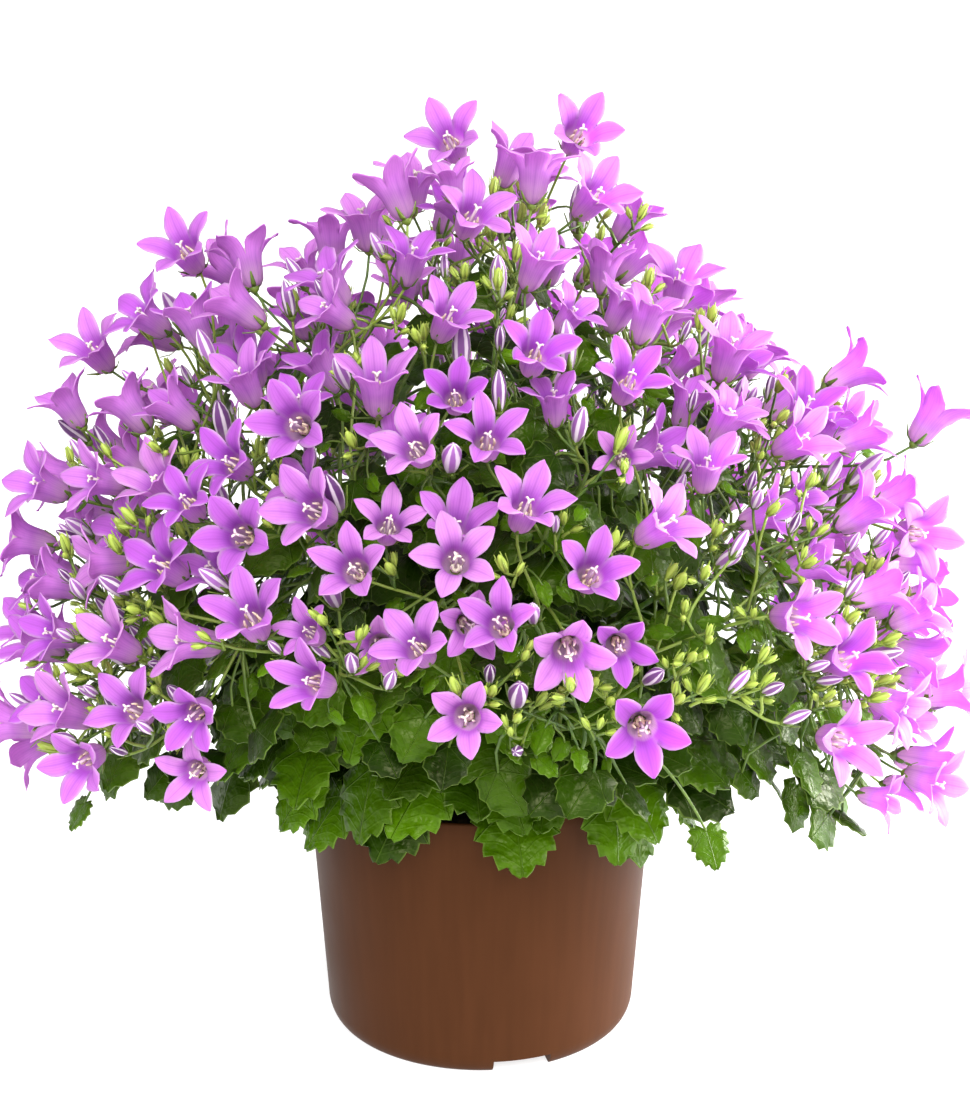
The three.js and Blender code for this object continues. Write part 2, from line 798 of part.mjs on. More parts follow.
// The twist of a fork's ring that turns its three faces towards its shoots, and who takes which
function matchFaces(axis, side, headings) {
  const slope = degrees(Math.atan(FORK_RISE / (BRANCH_RADIUS / 2)));
  let best = null;
  for (let twist = -60; twist <= 60; twist += 10) {
    const normals = [0, 1, 2].map((face) => {
      const aside = side.clone().applyAxisAngle(axis, radians(twist + 60 + 120 * face));
      return axis.clone().multiplyScalar(Math.cos(radians(slope))).addScaledVector(aside, Math.sin(radians(slope)));
    });
    for (const faces of orders(headings.length)) {
      const cost = headings.reduce((sum, heading, k) => sum + normals[faces[k]].angleTo(heading) ** 2, 0);
      if (!best || cost < best.cost - 1e-9) {
        best = { cost, twist, faces };
      }
    }
  }
  return best;
}

// A fork: a ring with a low peak over it, whose three faces each start a shoot or stay closed
function growFork(body, start, fork) {
  const incoming = fork.at.clone().sub(body.middle(start)).normalize();
  const axis = incoming.clone().multiplyScalar(0.5);
  for (const shoot of fork.shoots) {
    axis.addScaledVector(shoot.at.clone().sub(fork.at).normalize(), 1 / fork.shoots.length);
  }
  axis.normalize();
  const side = body.matchingSide(start, axis);
  if (fork.shoots.length === 1) {
    const bend = body.addRing(fork.at, axis, side, new Array(3).fill(fork.radius), [0, 0, 0]);
    body.joinTube(start, bend);
    growShoot(body, bend, fork.shoots[0]);
    return;
  }
  const headings = fork.shoots.map((shoot) => shoot.at.clone().sub(fork.at));
  const { twist, faces } = matchFaces(axis, side, headings);
  side.applyAxisAngle(axis, radians(twist));
  const ring = body.addRing(fork.at, axis, side, new Array(3).fill(fork.radius), [0, 0, 0]);
  body.joinTube(start, ring);
  const peak = body.addPoint(along(fork.at, axis, FORK_RISE));
  for (let face = 0; face < 3; face += 1) {
    const corners = [ring[face], ring[(face + 1) % 3], peak];
    const index = faces.indexOf(face);
    if (index < 0) {
      body.faces.push(corners);
    } else {
      growShoot(body, corners, fork.shoots[index]);
    }
  }
}

// The side on which a shoot's own rings start: for a flower the lobe that twists its stalk least
function shootSide(shoot, side) {
  if (shoot.kind !== 'flower') {
    return side;
  }
  const lobes = lobeSides(shoot);
  return lobes.reduce((best, lobe) => (lobe.dot(side) > best.dot(side) ? lobe : best));
}

function growShoot(body, start, shoot) {
  if (shoot.kind === 'leaf') {
    growLeaf(body, start, shoot);
    return;
  }
  if (shoot.kind === 'fork') {
    growFork(body, start, shoot);
    return;
  }
  const side = shootSide(shoot, body.matchingSide(start, shoot.axis));
  const radius = shoot.kind === 'tip' ? BRANCH_RADIUS : STALK_RADIUS;
  const ring = body.addRing(shoot.at, shoot.axis, side, new Array(3).fill(radius), [0, 0, 0]);
  body.joinTube(start, ring);
  if (shoot.kind === 'tip') {
    body.faces.push(ring);
  } else if (shoot.kind === 'flower') {
    growFlower(body, ring, shoot);
  } else {
    growBud(body, ring, shoot);
  }
}

// A body with one flat foot from which a chain of shoots grows
function growFrom(at, axis, radius, shoot) {
  const body = new Body();
  const [side] = squareTo(axis);
  const foot = body.addRing(at, axis, side, new Array(3).fill(radius), [0, 0, 0]);
  body.faces.push([...foot].reverse());
  growShoot(body, foot, shoot);
  return body;
}

// The green part of a stem, from its hole in the soil to its hub, with its leaves
function leafyStemBody(stem) {
  let shoot = { kind: 'tip', at: along(stem.hub, stem.unit, -CLEARANCE), axis: stem.unit };
  for (const fork of [...stem.forks].reverse()) {
    shoot = { kind: 'fork', at: fork.at, radius: STEM_RADIUS, shoots: [shoot, ...fork.leaves] };
  }
  shoot = { kind: 'fork', at: stem.collar, radius: STEM_RADIUS, shoots: [shoot] };
  return growFrom(stem.root, UP, STEM_RADIUS, shoot);
}

// A branch of a spray: forks in a row, each with two shoots and the next fork
function branchShoot(branch) {
  const groups = [];
  branch.shoots.forEach((shoot, index) => {
    const at = forkOfShoot(branch, index);
    const last = groups[groups.length - 1];
    if (last && last.at.distanceTo(at) < 0.1) {
      last.shoots.push(shoot);
    } else {
      groups.push({ kind: 'fork', at, radius: BRANCH_RADIUS, shoots: [shoot] });
    }
  });
  for (let k = groups.length - 1; k > 0; k -= 1) {
    groups[k - 1].shoots.push(groups[k]);
  }
  return groups[0];
}

// The flowering spray of a stem: branches, flowers and buds
function sprayBody(stem) {
  const shoots = stem.branches.filter((branch) => branch.shoots.length > 0).map(branchShoot);
  const fork = { kind: 'fork', at: along(stem.hub, stem.unit, 3), radius: BRANCH_RADIUS, shoots };
  return growFrom(stem.hub, stem.unit, BRANCH_RADIUS, fork);
}

const wasm = await Module();
wasm.setup();

function toManifold(geometry) {
  const bare = geometry.clone();
  bare.deleteAttribute('normal');
  bare.deleteAttribute('uv');
  const merged = mergeVertices(bare);
  return new wasm.Manifold(
    new wasm.Mesh({
      numProp: 3,
      vertProperties: new Float32Array(merged.attributes.position.array),
      triVerts: new Uint32Array(merged.index.array),
    }),
  );
}

function fromManifold(solid) {
  const mesh = solid.getMesh();
  const geometry = new THREE.BufferGeometry();
  geometry.setAttribute('position', new THREE.BufferAttribute(new Float32Array(mesh.vertProperties), 3));
  geometry.setIndex(new THREE.BufferAttribute(new Uint32Array(mesh.triVerts), 1));
  geometry.computeVertexNormals();
  return geometry;
}

// A profile of [radius, height] pairs turned about Z
function turned(profile, sides) {
  const points = profile.map(([radius, height]) => new THREE.Vector2(radius, height));
  return new THREE.LatheGeometry(points, sides).rotateX(Math.PI / 2);
}

function potGeometry() {
  const floor = FOOT_RECESS + POT_WALL;
  const recessRadius = POT_FOOT_RADIUS - POT_CORNER_WIDTH - FOOT_RING_WIDTH;
  const corner = [];
  for (const angle of [0, 30, 60, 90]) {
    corner.push([
      potRadius(POT_CORNER) - POT_CORNER_WIDTH * (1 - Math.sin(radians(angle))),
      POT_CORNER * (1 - Math.cos(radians(angle))),
    ]);
  }
  const profile = [
    [0, FOOT_RECESS],
    [recessRadius, FOOT_RECESS],
    [recessRadius, 0],
    ...corner,
    [POT_RIM_RADIUS - 0.3, POT_HEIGHT - 0.8],
    [POT_RIM_RADIUS - 0.7, POT_HEIGHT],
    [POT_RIM_RADIUS - POT_WALL, POT_HEIGHT],
    [potRadius(floor) - POT_WALL - POT_TAPER_INSIDE, floor],
    [0, floor],
  ];
  let pot = toManifold(turned(profile, POT_SIDES));
  for (let k = 0; k < NOTCH_COUNT; k += 1) {
    const notch = new THREE.BoxGeometry(2 * POT_CORNER + 8, NOTCH_WIDTH, 2 * FOOT_RECESS - 0.6);
    notch.translate(POT_FOOT_RADIUS - 1, 0, 0);
    notch.rotateZ(radians(FIRST_NOTCH_TURN + (360 * k) / NOTCH_COUNT));
    pot = pot.subtract(toManifold(notch));
  }
  for (let k = 0; k < DRAIN_COUNT; k += 1) {
    const drain = new THREE.CylinderGeometry(DRAIN_RADIUS, DRAIN_RADIUS, 4 * POT_WALL, 8).rotateX(Math.PI / 2);
    drain.translate(DRAIN_CIRCLE, 0, FOOT_RECESS + POT_WALL / 2);
    drain.rotateZ(radians(45 + (360 * k) / DRAIN_COUNT));
    pot = pot.subtract(toManifold(drain));
  }
  return fromManifold(pot);
}

function soilGeometry(stems) {
  const bottom = FOOT_RECESS + POT_WALL + CLEARANCE;
  const footRadius = potRadius(bottom) - POT_WALL - POT_TAPER_INSIDE - CLEARANCE;
  const edgeRadius = potRadius(SOIL_EDGE_Z) - POT_WALL - CLEARANCE - 0.4;
  const profile = [
    [0, bottom],
    [footRadius, bottom],
    [edgeRadius, soilHeight(edgeRadius)],
    [edgeRadius * 0.55, soilHeight(edgeRadius * 0.55)],
    [0, soilHeight(0)],
  ];
  let soil = toManifold(turned(profile, SOIL_SIDES));
  for (const stem of stems) {
    const depth = HOLE_DEPTH + CLEARANCE;
    const hole = new Body();
    const [side] = squareTo(UP);
    const start = along(stem.root, UP, -CLEARANCE);
    const radii = new Array(3).fill(STEM_RADIUS + 2 * CLEARANCE);
    const low = hole.addRing(start, UP, side, radii, [0, 0, 0]);
    const high = hole.addRing(along(start, UP, depth + 4), UP, side, radii, [0, 0, 0]);
    hole.faces.push([...low].reverse(), high);
    hole.join(low, high);
    soil = soil.subtract(toManifold(hole.geometry()));
  }
  return fromManifold(soil);
}

const POT_FINISH = { color: 0x64422f, roughness: 0.45, metalness: 0 };
const SOIL_FINISH = { color: 0x1e1814, roughness: 0.95, metalness: 0 };
const LEAF_FINISH = { color: 0x4d7530, roughness: 0.6, metalness: 0 };
const FLOWER_FINISH = { color: 0xb778d8, roughness: 0.55, metalness: 0 };

function addPart(group, name, geometry, finish) {
  const mesh = new THREE.Mesh(geometry, new THREE.MeshStandardMaterial(finish));
  mesh.name = name;
  group.add(mesh);
}

const stems = layOutPlant();
const bellflower = new THREE.Group();
addPart(bellflower, 'pot', potGeometry(), POT_FINISH);
addPart(bellflower, 'soil', soilGeometry(stems), SOIL_FINISH);
stems.forEach((stem, index) => {
  const number = String(index + 1).padStart(2, '0');
  addPart(bellflower, `leafy_stem_${number}`, leafyStemBody(stem).geometry(), LEAF_FINISH);
  addPart(bellflower, `flower_spray_${number}`, sprayBody(stem).geometry(), FLOWER_FINISH);
});

export default bellflower;
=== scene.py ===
# Looks of a potted dalmatian bellflower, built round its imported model.
# The plant is laid out in millimetres and its meshes are written in metres, +Z up, front towards -Y.

import math

import bpy
import numpy as np
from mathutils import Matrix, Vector, noise


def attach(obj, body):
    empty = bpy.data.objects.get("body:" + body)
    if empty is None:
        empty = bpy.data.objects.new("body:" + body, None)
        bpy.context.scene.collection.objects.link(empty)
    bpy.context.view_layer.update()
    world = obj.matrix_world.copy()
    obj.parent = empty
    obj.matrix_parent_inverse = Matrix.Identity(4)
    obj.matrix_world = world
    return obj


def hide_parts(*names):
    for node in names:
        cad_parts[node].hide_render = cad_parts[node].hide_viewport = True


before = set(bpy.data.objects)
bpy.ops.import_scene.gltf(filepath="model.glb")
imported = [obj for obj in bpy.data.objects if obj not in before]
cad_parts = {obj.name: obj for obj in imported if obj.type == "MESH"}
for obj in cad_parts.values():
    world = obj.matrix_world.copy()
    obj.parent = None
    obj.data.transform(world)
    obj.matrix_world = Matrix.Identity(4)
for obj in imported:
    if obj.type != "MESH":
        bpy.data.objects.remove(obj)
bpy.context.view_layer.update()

MM = 0.001
M32 = 0xFFFFFFFF
UP = np.array([0.0, 0.0, 1.0])

# Pot and soil, as in the part
POT_HEIGHT = 94.5
POT_RIM_RADIUS = 60.0
POT_FOOT_RADIUS = 53.4
POT_WALL = 1.6
POT_CORNER = 7.0
POT_CORNER_WIDTH = 3.85
POT_TAPER_INSIDE = 1.5
FOOT_RING_WIDTH = 4.0
FOOT_RECESS = 5.0
NOTCH_COUNT = 3
NOTCH_WIDTH = 20.0
FIRST_NOTCH_TURN = -74.3
DRAIN_COUNT = 4
FIRST_DRAIN_TURN = 45
DRAIN_RADIUS = 4.0
DRAIN_CIRCLE = 26.0
CLEARANCE = 0.3
WALL_GAP = 0.4
SOIL_GAP = 0.2
SOIL_EDGE_Z = 86.0
SOIL_RISE = 2.5
HOLE_DEPTH = 7.0

# Crown, as in the part
LAYOUT_SEED = 15
CROWN_CENTRE = np.array([0.0, 0.0, 100.0])
CROWN_REACH = 160.0
CROWN_RISE = 18.0
CROWN_NARROWING = 12.0
CROWN_LEAN = 3.5
# Turn and lift of each swell's middle, its width in degrees and its height
CROWN_SWELLS = [
    (0, 90, 22, 27),
    (0, 80, 8, 8),
    (180, 60, 10, 20),
    (180, 73, 8, -16),
    (0, 60, 10, -14),
    (0, 38, 9, 14),
    (180, 38, 9, 14),
]
LEFT_LIFT = -3.0
RIGHT_LIFT = -10.0
FRONT_LIFT = 21.0
BACK_LIFT = 3.0
# Turn and lift where each flower stands, how far it stands out, and the turn and lift it faces
OUTLINE_FLOWERS = [
    (5, 81, 4, -70, 38),
    (170, 87, 4, -110, 42),
    (-52, 82, 2, 60, 78),
    (-146, 80, 4, 150, 62),
    (-174, 61, 3, -120, 45),
    (-155, 62, 1, 180, 40),
    (178, 47, 8, -130, 50),
    (-178, 41, 5, 175, 30),
    (-171, 34, 3, -150, 30),
    (-177, 26, 3, -175, 15),
    (-168, 7, 2, 178, 8),
    (2, 46, 5, 8, 28),
    (-1, 38, 7, 20, 52),
    (-14, 30, 2, -62, 12),
    (-7, 9, 3, -12, 14),
    (-15, 0, 0, -40, -2),
]
# Turn, lift and width of the places with more buds and leaves than open flowers
BARE_PLACES = [(-48, 22, 20), (-72, 50, 9), (120, 25, 16)]
BARE_SHARE = 0.3

# Stems and sprays, as in the part
STEM_LATTICE = 66
STEM_LATTICE_TURN = 26
STEM_MARGIN = 9
ROOT_SPREAD = 45.0
HUB_SHARE = 0.58
BRANCH_DEPTH = 46.0
BRANCHES_PER_STEM = 3
BRANCH_SPREAD = 10
FORK_STEP = 7.0
SHOOTS_PER_BRANCH = 7
LAST_FORK = 2
BRANCH_CHOICES = 4
BRANCH_REACH = 22
LEAST_LEAN = 10
MOST_LEAN = 72
LEAST_FORK_ANGLE = 80
MOST_NOD = 52
LEAST_STALK = 6
STEM_ROOM = 1.3
BRANCH_ROOM = 1.1
STALK_ROOM = 1.0
FORK_ROOM = 5.0
BALL_STEP = 2.2
MOST_BALLS = 90000

# Flowers, buds and leaves, as in the part
FLOWER_LATTICE = 430
FLOWER_TRIES = 14
FLOWER_LENGTH = 17.0
FLOWER_RADIUS = 13.2
MOUTH_SHARE = 0.8
LEAST_TIP = 4
TIP_RANGE = 26
OUTER_SIZE = 0.93
INNER_SIZE = 0.88
SIZE_RANGE = 0.16
OUTLINE_SIZE = 1.04
FACING_SHARE = 0.8
FACING_RISE = 4
INNER_DARTS = 1500
INNER_DEPTH = 26.0
INNER_FLOWERS = 96
BUD_DARTS = 1200
BUD_COUNT = 84
BUD_LENGTH = 15.0
YOUNG_SHARE = 0.35
YOUNG_SHARE_WHERE_BARE = 0.6
BUD_SHARE = 0.6
# Count, radius, growth to the sides, height, tilt, droop and size of each row of leaves
LEAF_ROWS = [
    (18, 69, 0, 92, 24, 62, 23),
    (18, 66, 22, 105, 40, 40, 23),
    (18, 78, 26, 118, 46, 25, 22),
    (16, 84, 14, 138, 48, 15, 20),
    (16, 80, 8, 160, 52, 10, 19),
    (12, 60, 4, 186, 60, 10, 18),
]
LEAF_TRIES = 40
LEAF_MIDDLE = 0.42
LEAST_LEAF_STALK = 8
LEAF_FORK_ANGLES = (14, 84)
MOST_LEAF_NOD = 66
LEAST_LEAF_SPREAD = 45
LEAF_STALK_LIMIT = 52.0
LEAF_FORK_ROOM = 4.0
LEAF_BALL_RADIUS = 1.9
LEAF_BALL_STEP = 4.4
STEM_FORKS = [0.1, 0.24, 0.42, 0.66, 0.85]
LEAVES_PER_FORK = 2
GOLDEN_TURN = 180 * (3 - math.sqrt(5))


class SeededDraws:
    """The same random draws as in the part's source."""

    def __init__(self, seed):
        self.state = seed

    def __call__(self):
        self.state = (self.state + 0x6D2B79F5) & M32
        mixed = ((self.state ^ (self.state >> 15)) * (1 | self.state)) & M32
        mixed = ((mixed + (mixed ^ (mixed >> 7)) * (61 | mixed)) & M32) ^ mixed
        return (mixed ^ (mixed >> 14)) / 4294967296


def vec(x, y, z):
    return np.array([x, y, z], float)


def length_of(v):
    return math.sqrt(v @ v)


def unit_of(v):
    return v / length_of(v)


def cross(a, b):
    return vec(a[1] * b[2] - a[2] * b[1], a[2] * b[0] - a[0] * b[2], a[0] * b[1] - a[1] * b[0])


def angle_between(a, b):
    share = (a @ b) / math.sqrt((a @ a) * (b @ b))
    return math.degrees(math.acos(max(-1.0, min(1.0, share))))


def direction(turn, lift):
    """The unit vector at a turn about Z from +X and a lift above the horizontal."""
    turn, lift = math.radians(turn), math.radians(lift)
    return vec(math.cos(lift) * math.cos(turn), math.cos(lift) * math.sin(turn), math.sin(lift))


def turn_of(v):
    return math.degrees(math.atan2(v[1], v[0]))


def lift_of(v):
    return math.degrees(math.asin(v[2] / length_of(v)))


def square_to(axis):
    """Two directions square to an axis, the first as near as can be to upward."""
    guide = vec(0, 1, 0) if abs(axis[2]) > 0.95 else UP
    first = unit_of(guide - axis * (guide @ axis))
    return first, cross(axis, first)


def tipped(axis, angle, spin):
    """The axis tipped by an angle towards a spin about it."""
    first, second = square_to(axis)
    aside = first * math.cos(math.radians(spin)) + second * math.sin(math.radians(spin))
    return axis * math.cos(math.radians(angle)) + aside * math.sin(math.radians(angle))


def turned_about(v, axis, angle):
    c, s = math.cos(math.radians(angle)), math.sin(math.radians(angle))
    return v * c + cross(axis, v) * s + axis * (axis @ v) * (1 - c)


SWELL_UNITS = np.array([direction(turn, lift) for turn, lift, _, _ in CROWN_SWELLS])
SWELL_WIDTHS = np.array([width for _, _, width, _ in CROWN_SWELLS], float)
SWELL_HEIGHTS = np.array([swell for _, _, _, swell in CROWN_SWELLS], float)
BARE_UNITS = [(direction(turn, lift), width) for turn, lift, width in BARE_PLACES]


def crown_reach(unit):
    """How far from the crown's centre the mouths of the flowers stand in a direction."""
    reach = CROWN_REACH + CROWN_RISE * max(unit[2], 0)
    reach -= CROWN_NARROWING * abs(unit[1]) + CROWN_LEAN * unit[1]
    away = np.degrees(np.arccos(np.clip(SWELL_UNITS @ unit, -1, 1))) / SWELL_WIDTHS
    return reach + float(SWELL_HEIGHTS @ np.exp(-away * away))


def lowest_lift(unit):
    flat = math.hypot(unit[0], unit[1]) or 1
    frontness = max(-unit[1] / flat, 0)
    backness = max(unit[1] / flat, 0)
    side_lift = LEFT_LIFT if unit[0] < 0 else RIGHT_LIFT
    front = (FRONT_LIFT - side_lift) * frontness**1.5
    return side_lift + front + (BACK_LIFT - side_lift) * backness


def is_bare(unit):
    return any(angle_between(unit, middle) < width for middle, width in BARE_UNITS)


def lattice_directions(count, first_turn, margin):
    """Directions spread evenly over the crown, from its top down."""
    units = []
    for k in range(count):
        lift = math.degrees(math.asin(1 - (2 * k + 1) / count))
        unit = direction(first_turn + k * GOLDEN_TURN, lift)
        if lift > lowest_lift(unit) + margin:
            units.append(unit)
    return units


class Clearance:
    """Balls that stand for what is already placed, so that nothing crosses it."""

    def __init__(self):
        self.points = np.zeros((MOST_BALLS, 3))
        self.radii = np.zeros(MOST_BALLS)
        self.count = 0

    def add(self, *balls):
        for points, radii in balls:
            end = self.count + len(radii)
            self.points[self.count : end] = points
            self.radii[self.count : end] = radii
            self.count = end

    def take(self, balls, stalk):
        """Takes the room of a shoot or blade and of its stalk, if neither crosses anything."""
        if self.is_free(balls) and self.is_free(stalk):
            self.add(balls, stalk)
            return True
        return False

    def is_free(self, balls):
        points, radii = balls
        if not len(radii):
            return True
        middle = points.mean(axis=0)
        reach = np.sqrt(((points - middle) ** 2).sum(axis=1)).max() + radii.max()
        offsets = self.points[: self.count] - middle
        room = reach + self.radii[: self.count]
        near = np.nonzero((offsets * offsets).sum(axis=1) <= room * room)[0]
        if not len(near):
            return True
        gaps = points[:, None, :] - self.points[near][None, :, :]
        touching = radii[:, None] + self.radii[near][None, :]
        return bool(((gaps * gaps).sum(axis=2) > touching * touching).all())


def stalk_balls(start, end, radius, skip=0.0):
    span = length_of(end - start)
    heading = (end - start) / span
    distances = skip + BALL_STEP * np.arange(int(max(span - skip, -1) // BALL_STEP) + 1)
    return start + distances[:, None] * heading, np.full(len(distances), radius)


LOBES = 5
LOBE_TURN = 360 / LOBES
# Distance from the axis, rise and radius of the balls in a lobe, and rise and radius of those in the bell
LOBE_BALLS = [(7, 10.8, 2.9), (10.2, 14.2, 2.4), (12.8, 16.4, 1.3)]
TUBE_BALLS = [(2.5, 3.2), (7, 4.8), (11.5, 6)]


def lobe_sides(flower):
    first, _ = square_to(flower["axis"])
    return [turned_about(first, flower["axis"], flower["spin"] + LOBE_TURN * lobe) for lobe in range(LOBES)]


def flower_balls(flower):
    at, axis, size = flower["at"], flower["axis"], flower["size"]
    points = [at + axis * rise * size for rise, _ in TUBE_BALLS]
    radii = [radius * size for _, radius in TUBE_BALLS]
    for aside in lobe_sides(flower):
        for out, rise, radius in LOBE_BALLS:
            points.append(at + axis * rise * size + aside * out * size)
            radii.append(radius * size)
    return np.array(points), np.array(radii)


def bud_balls(bud):
    shares = (0.15, 0.4, 0.65, 0.9)
    points = np.array([bud["at"] + bud["axis"] * bud["size"] * share for share in shares])
    return points, bud["size"] * np.array([0.19, 0.19, 0.19, 0.1])


LEAF_BALL_ROWS = [(-0.06, 0.36), (0.12, 0.5), (0.3, 0.44), (0.48, 0.42), (0.66, 0.22), (0.86, 0.06)]


def leaf_balls(leaf):
    across = cross(leaf["heading"], leaf["normal"])
    size = leaf["size"]
    points = []
    for y, half_width in LEAF_BALL_ROWS:
        steps = max(1, math.floor(2 * half_width * size / LEAF_BALL_STEP + 0.5))
        for k in range(steps + 1):
            x = half_width * (2 * k / steps - 1) * 0.92
            points.append(leaf["at"] + leaf["heading"] * y * size + across * x * size)
    return np.array(points), np.full(len(points), LEAF_BALL_RADIUS)


def soil_height(radius):
    return SOIL_EDGE_Z + SOIL_RISE * (1 - (radius / POT_RIM_RADIUS) ** 2)


def pot_radius(z):
    return POT_FOOT_RADIUS + (POT_RIM_RADIUS - POT_FOOT_RADIUS) * z / POT_HEIGHT


def is_clear_of_pot(balls):
    """Whether balls stay out of the pot's wall and the soil."""
    points, radii = balls
    flat = np.hypot(points[:, 0], points[:, 1])
    wall = pot_radius(points[:, 2])
    above = points[:, 2] > POT_HEIGHT + radii + WALL_GAP
    outside = flat > wall + radii + WALL_GAP
    inside = flat < wall - POT_WALL - radii - WALL_GAP
    over_soil = points[:, 2] > soil_height(flat) + radii + SOIL_GAP
    return bool((above | outside | (inside & over_soil)).all())


def bezier_point(curve, t):
    collar, bend, hub = curve
    return (1 - t) ** 2 * collar + 2 * (1 - t) * t * bend + t * t * hub


def bezier_heading(curve, t):
    step = 0.0001
    return unit_of(bezier_point(curve, min(t + step, 1)) - bezier_point(curve, max(t - step, 0)))


def make_stem(unit):
    """One leafy stem: a root in the soil, an arching path and a hub where its spray begins."""
    turn, lift = turn_of(unit), lift_of(unit)
    root_radius = ROOT_SPREAD * math.cos(math.radians(max(lift, 0)))
    flat = direction(turn, 0)
    root = flat * root_radius + UP * (soil_height(root_radius) - HOLE_DEPTH)
    collar = root + UP * (HOLE_DEPTH + 3)
    hub = CROWN_CENTRE + unit * crown_reach(unit) * HUB_SHARE
    bend = flat * root_radius * 1.12
    bend[2] = collar[2] + 0.55 * (hub[2] - collar[2]) + 9
    curve = (collar, bend, hub)
    forks = [
        {"at": bezier_point(curve, t), "heading": bezier_heading(curve, t), "leaves": []}
        for t in STEM_FORKS
    ]
    return {"unit": unit, "root": root, "curve": curve, "hub": hub, "forks": forks, "branches": []}


def crown_point(unit, depth):
    """The point at a depth below the mouths of the flowers that face a direction."""
    return CROWN_CENTRE + unit * (crown_reach(unit) - depth)


def make_branches(stem, spin):
    for k in range(BRANCHES_PER_STEM):
        unit = tipped(stem["unit"], BRANCH_SPREAD, spin + 360 * k / BRANCHES_PER_STEM)
        stem["branches"].append({"unit": unit, "at": crown_point(unit, BRANCH_DEPTH), "shoots": []})


def fork_of_shoot(branch, index):
    return branch["at"] + branch["unit"] * min(index // 2, LAST_FORK) * FORK_STEP


def nearest_branches(branches, unit):
    found = []
    for branch in branches:
        if len(branch["shoots"]) < SHOOTS_PER_BRANCH and branch["unit"] @ unit > 0.9:
            away = angle_between(branch["unit"], unit)
            if away < BRANCH_REACH:
                found.append((away, branch))
    found.sort(key=lambda pair: pair[0])
    return [branch for _, branch in found[:BRANCH_CHOICES]]


def flattened(v, normal):
    return v - normal * ((v @ normal) / (normal @ normal))


def leaves_fork_cleanly(branch, fork, heading):
    """Whether a shoot leaves its fork well to one side, away from the shoots already there."""
    lean = angle_between(heading, branch["unit"])
    if lean < LEAST_LEAN or lean > MOST_LEAN:
        return False
    aside = flattened(heading, branch["unit"])
    for index, other in enumerate(branch["shoots"]):
        if length_of(fork_of_shoot(branch, index) - fork) <= 0.1:
            other_aside = flattened(other["at"] - fork, branch["unit"])
            if angle_between(aside, other_aside) <= LEAST_FORK_ANGLE:
                return False
    return True


def try_shoot(clearance, branches, unit, shoot, balls):
    """Tries a flower or bud on the branches nearest to it, and keeps it if it crosses nothing."""
    if not is_clear_of_pot(balls) or not clearance.is_free(balls):
        return False
    for branch in nearest_branches(branches, unit):
        fork = fork_of_shoot(branch, len(branch["shoots"]))
        heading = shoot["at"] - fork
        is_straight = length_of(heading) > LEAST_STALK and angle_between(heading, shoot["axis"]) < MOST_NOD
        if is_straight and leaves_fork_cleanly(branch, fork, heading):
            if clearance.take(balls, stalk_balls(fork, shoot["at"], STALK_ROOM, FORK_ROOM)):
                branch["shoots"].append(shoot)
                return True
    return False


def make_flower(unit, depth, axis, size, spin):
    at = crown_point(unit, depth) - axis * FLOWER_LENGTH * size * MOUTH_SHARE
    return {"kind": "flower", "at": at, "axis": axis, "size": size, "spin": spin}


def make_random_flower(draw, unit, depth, least_size):
    facing = direction(turn_of(unit), lift_of(unit) * FACING_SHARE + FACING_RISE)
    angle = LEAST_TIP + TIP_RANGE * draw()
    axis = tipped(facing, angle, 360 * draw())
    size = least_size + SIZE_RANGE * draw()
    return make_flower(unit, depth, axis, size, LOBE_TURN * draw())


def place_flowers(clearance, branches, draw):
    for turn, lift, out, face_turn, face_lift in OUTLINE_FLOWERS:
        unit = direction(turn, lift)
        flower = make_flower(unit, -out, direction(face_turn, face_lift), OUTLINE_SIZE, 36)
        try_shoot(clearance, branches, unit, flower, flower_balls(flower))
    for site in lattice_directions(FLOWER_LATTICE, 0, 0):
        if is_bare(site) and draw() > BARE_SHARE:
            continue
        for k in range(FLOWER_TRIES):
            angle = (2 + 0.3 * k) * draw()
            unit = tipped(site, angle, 360 * draw())
            flower = make_random_flower(draw, unit, 6 * draw() + 0.5 * k, OUTER_SIZE)
            if try_shoot(clearance, branches, unit, flower, flower_balls(flower)):
                break
    placed = 0
    for _ in range(INNER_DARTS):
        if placed >= INNER_FLOWERS:
            break
        unit = dart_direction(draw, 2)
        depth = INNER_DEPTH * (0.45 + 0.65 * draw())
        flower = make_random_flower(draw, unit, depth, INNER_SIZE)
        is_wanted = not is_bare(unit) or draw() < BARE_SHARE
        if is_wanted and try_shoot(clearance, branches, unit, flower, flower_balls(flower)):
            placed += 1


def dart_direction(draw, margin):
    while True:
        lift = math.degrees(math.asin(2 * draw() - 1))
        unit = direction(360 * draw(), lift)
        if lift > lowest_lift(unit) + margin:
            return unit


def make_bud(at, axis, size, is_young):
    return {"kind": "bud", "at": at, "axis": axis, "size": size, "is_young": is_young}


def place_buds(clearance, branches, draw):
    placed = 0
    for _ in range(BUD_DARTS):
        if placed >= BUD_COUNT:
            break
        unit = dart_direction(draw, -2)
        outward = direction(turn_of(unit), lift_of(unit))
        angle = 25 * draw()
        axis = tipped(unit_of(outward + UP * 0.35), angle, 360 * draw())
        is_young = draw() < (YOUNG_SHARE_WHERE_BARE if is_bare(unit) else YOUNG_SHARE)
        size = BUD_LENGTH * (0.55 + 0.2 * draw() if is_young else 0.85 + 0.3 * draw())
        tip = CROWN_CENTRE + unit * (crown_reach(unit) - 18 * draw() + 2)
        bud = make_bud(tip - axis * size, axis, size, is_young)
        is_wanted = is_bare(unit) or draw() < BUD_SHARE
        if is_wanted and try_shoot(clearance, branches, unit, bud, bud_balls(bud)):
            placed += 1


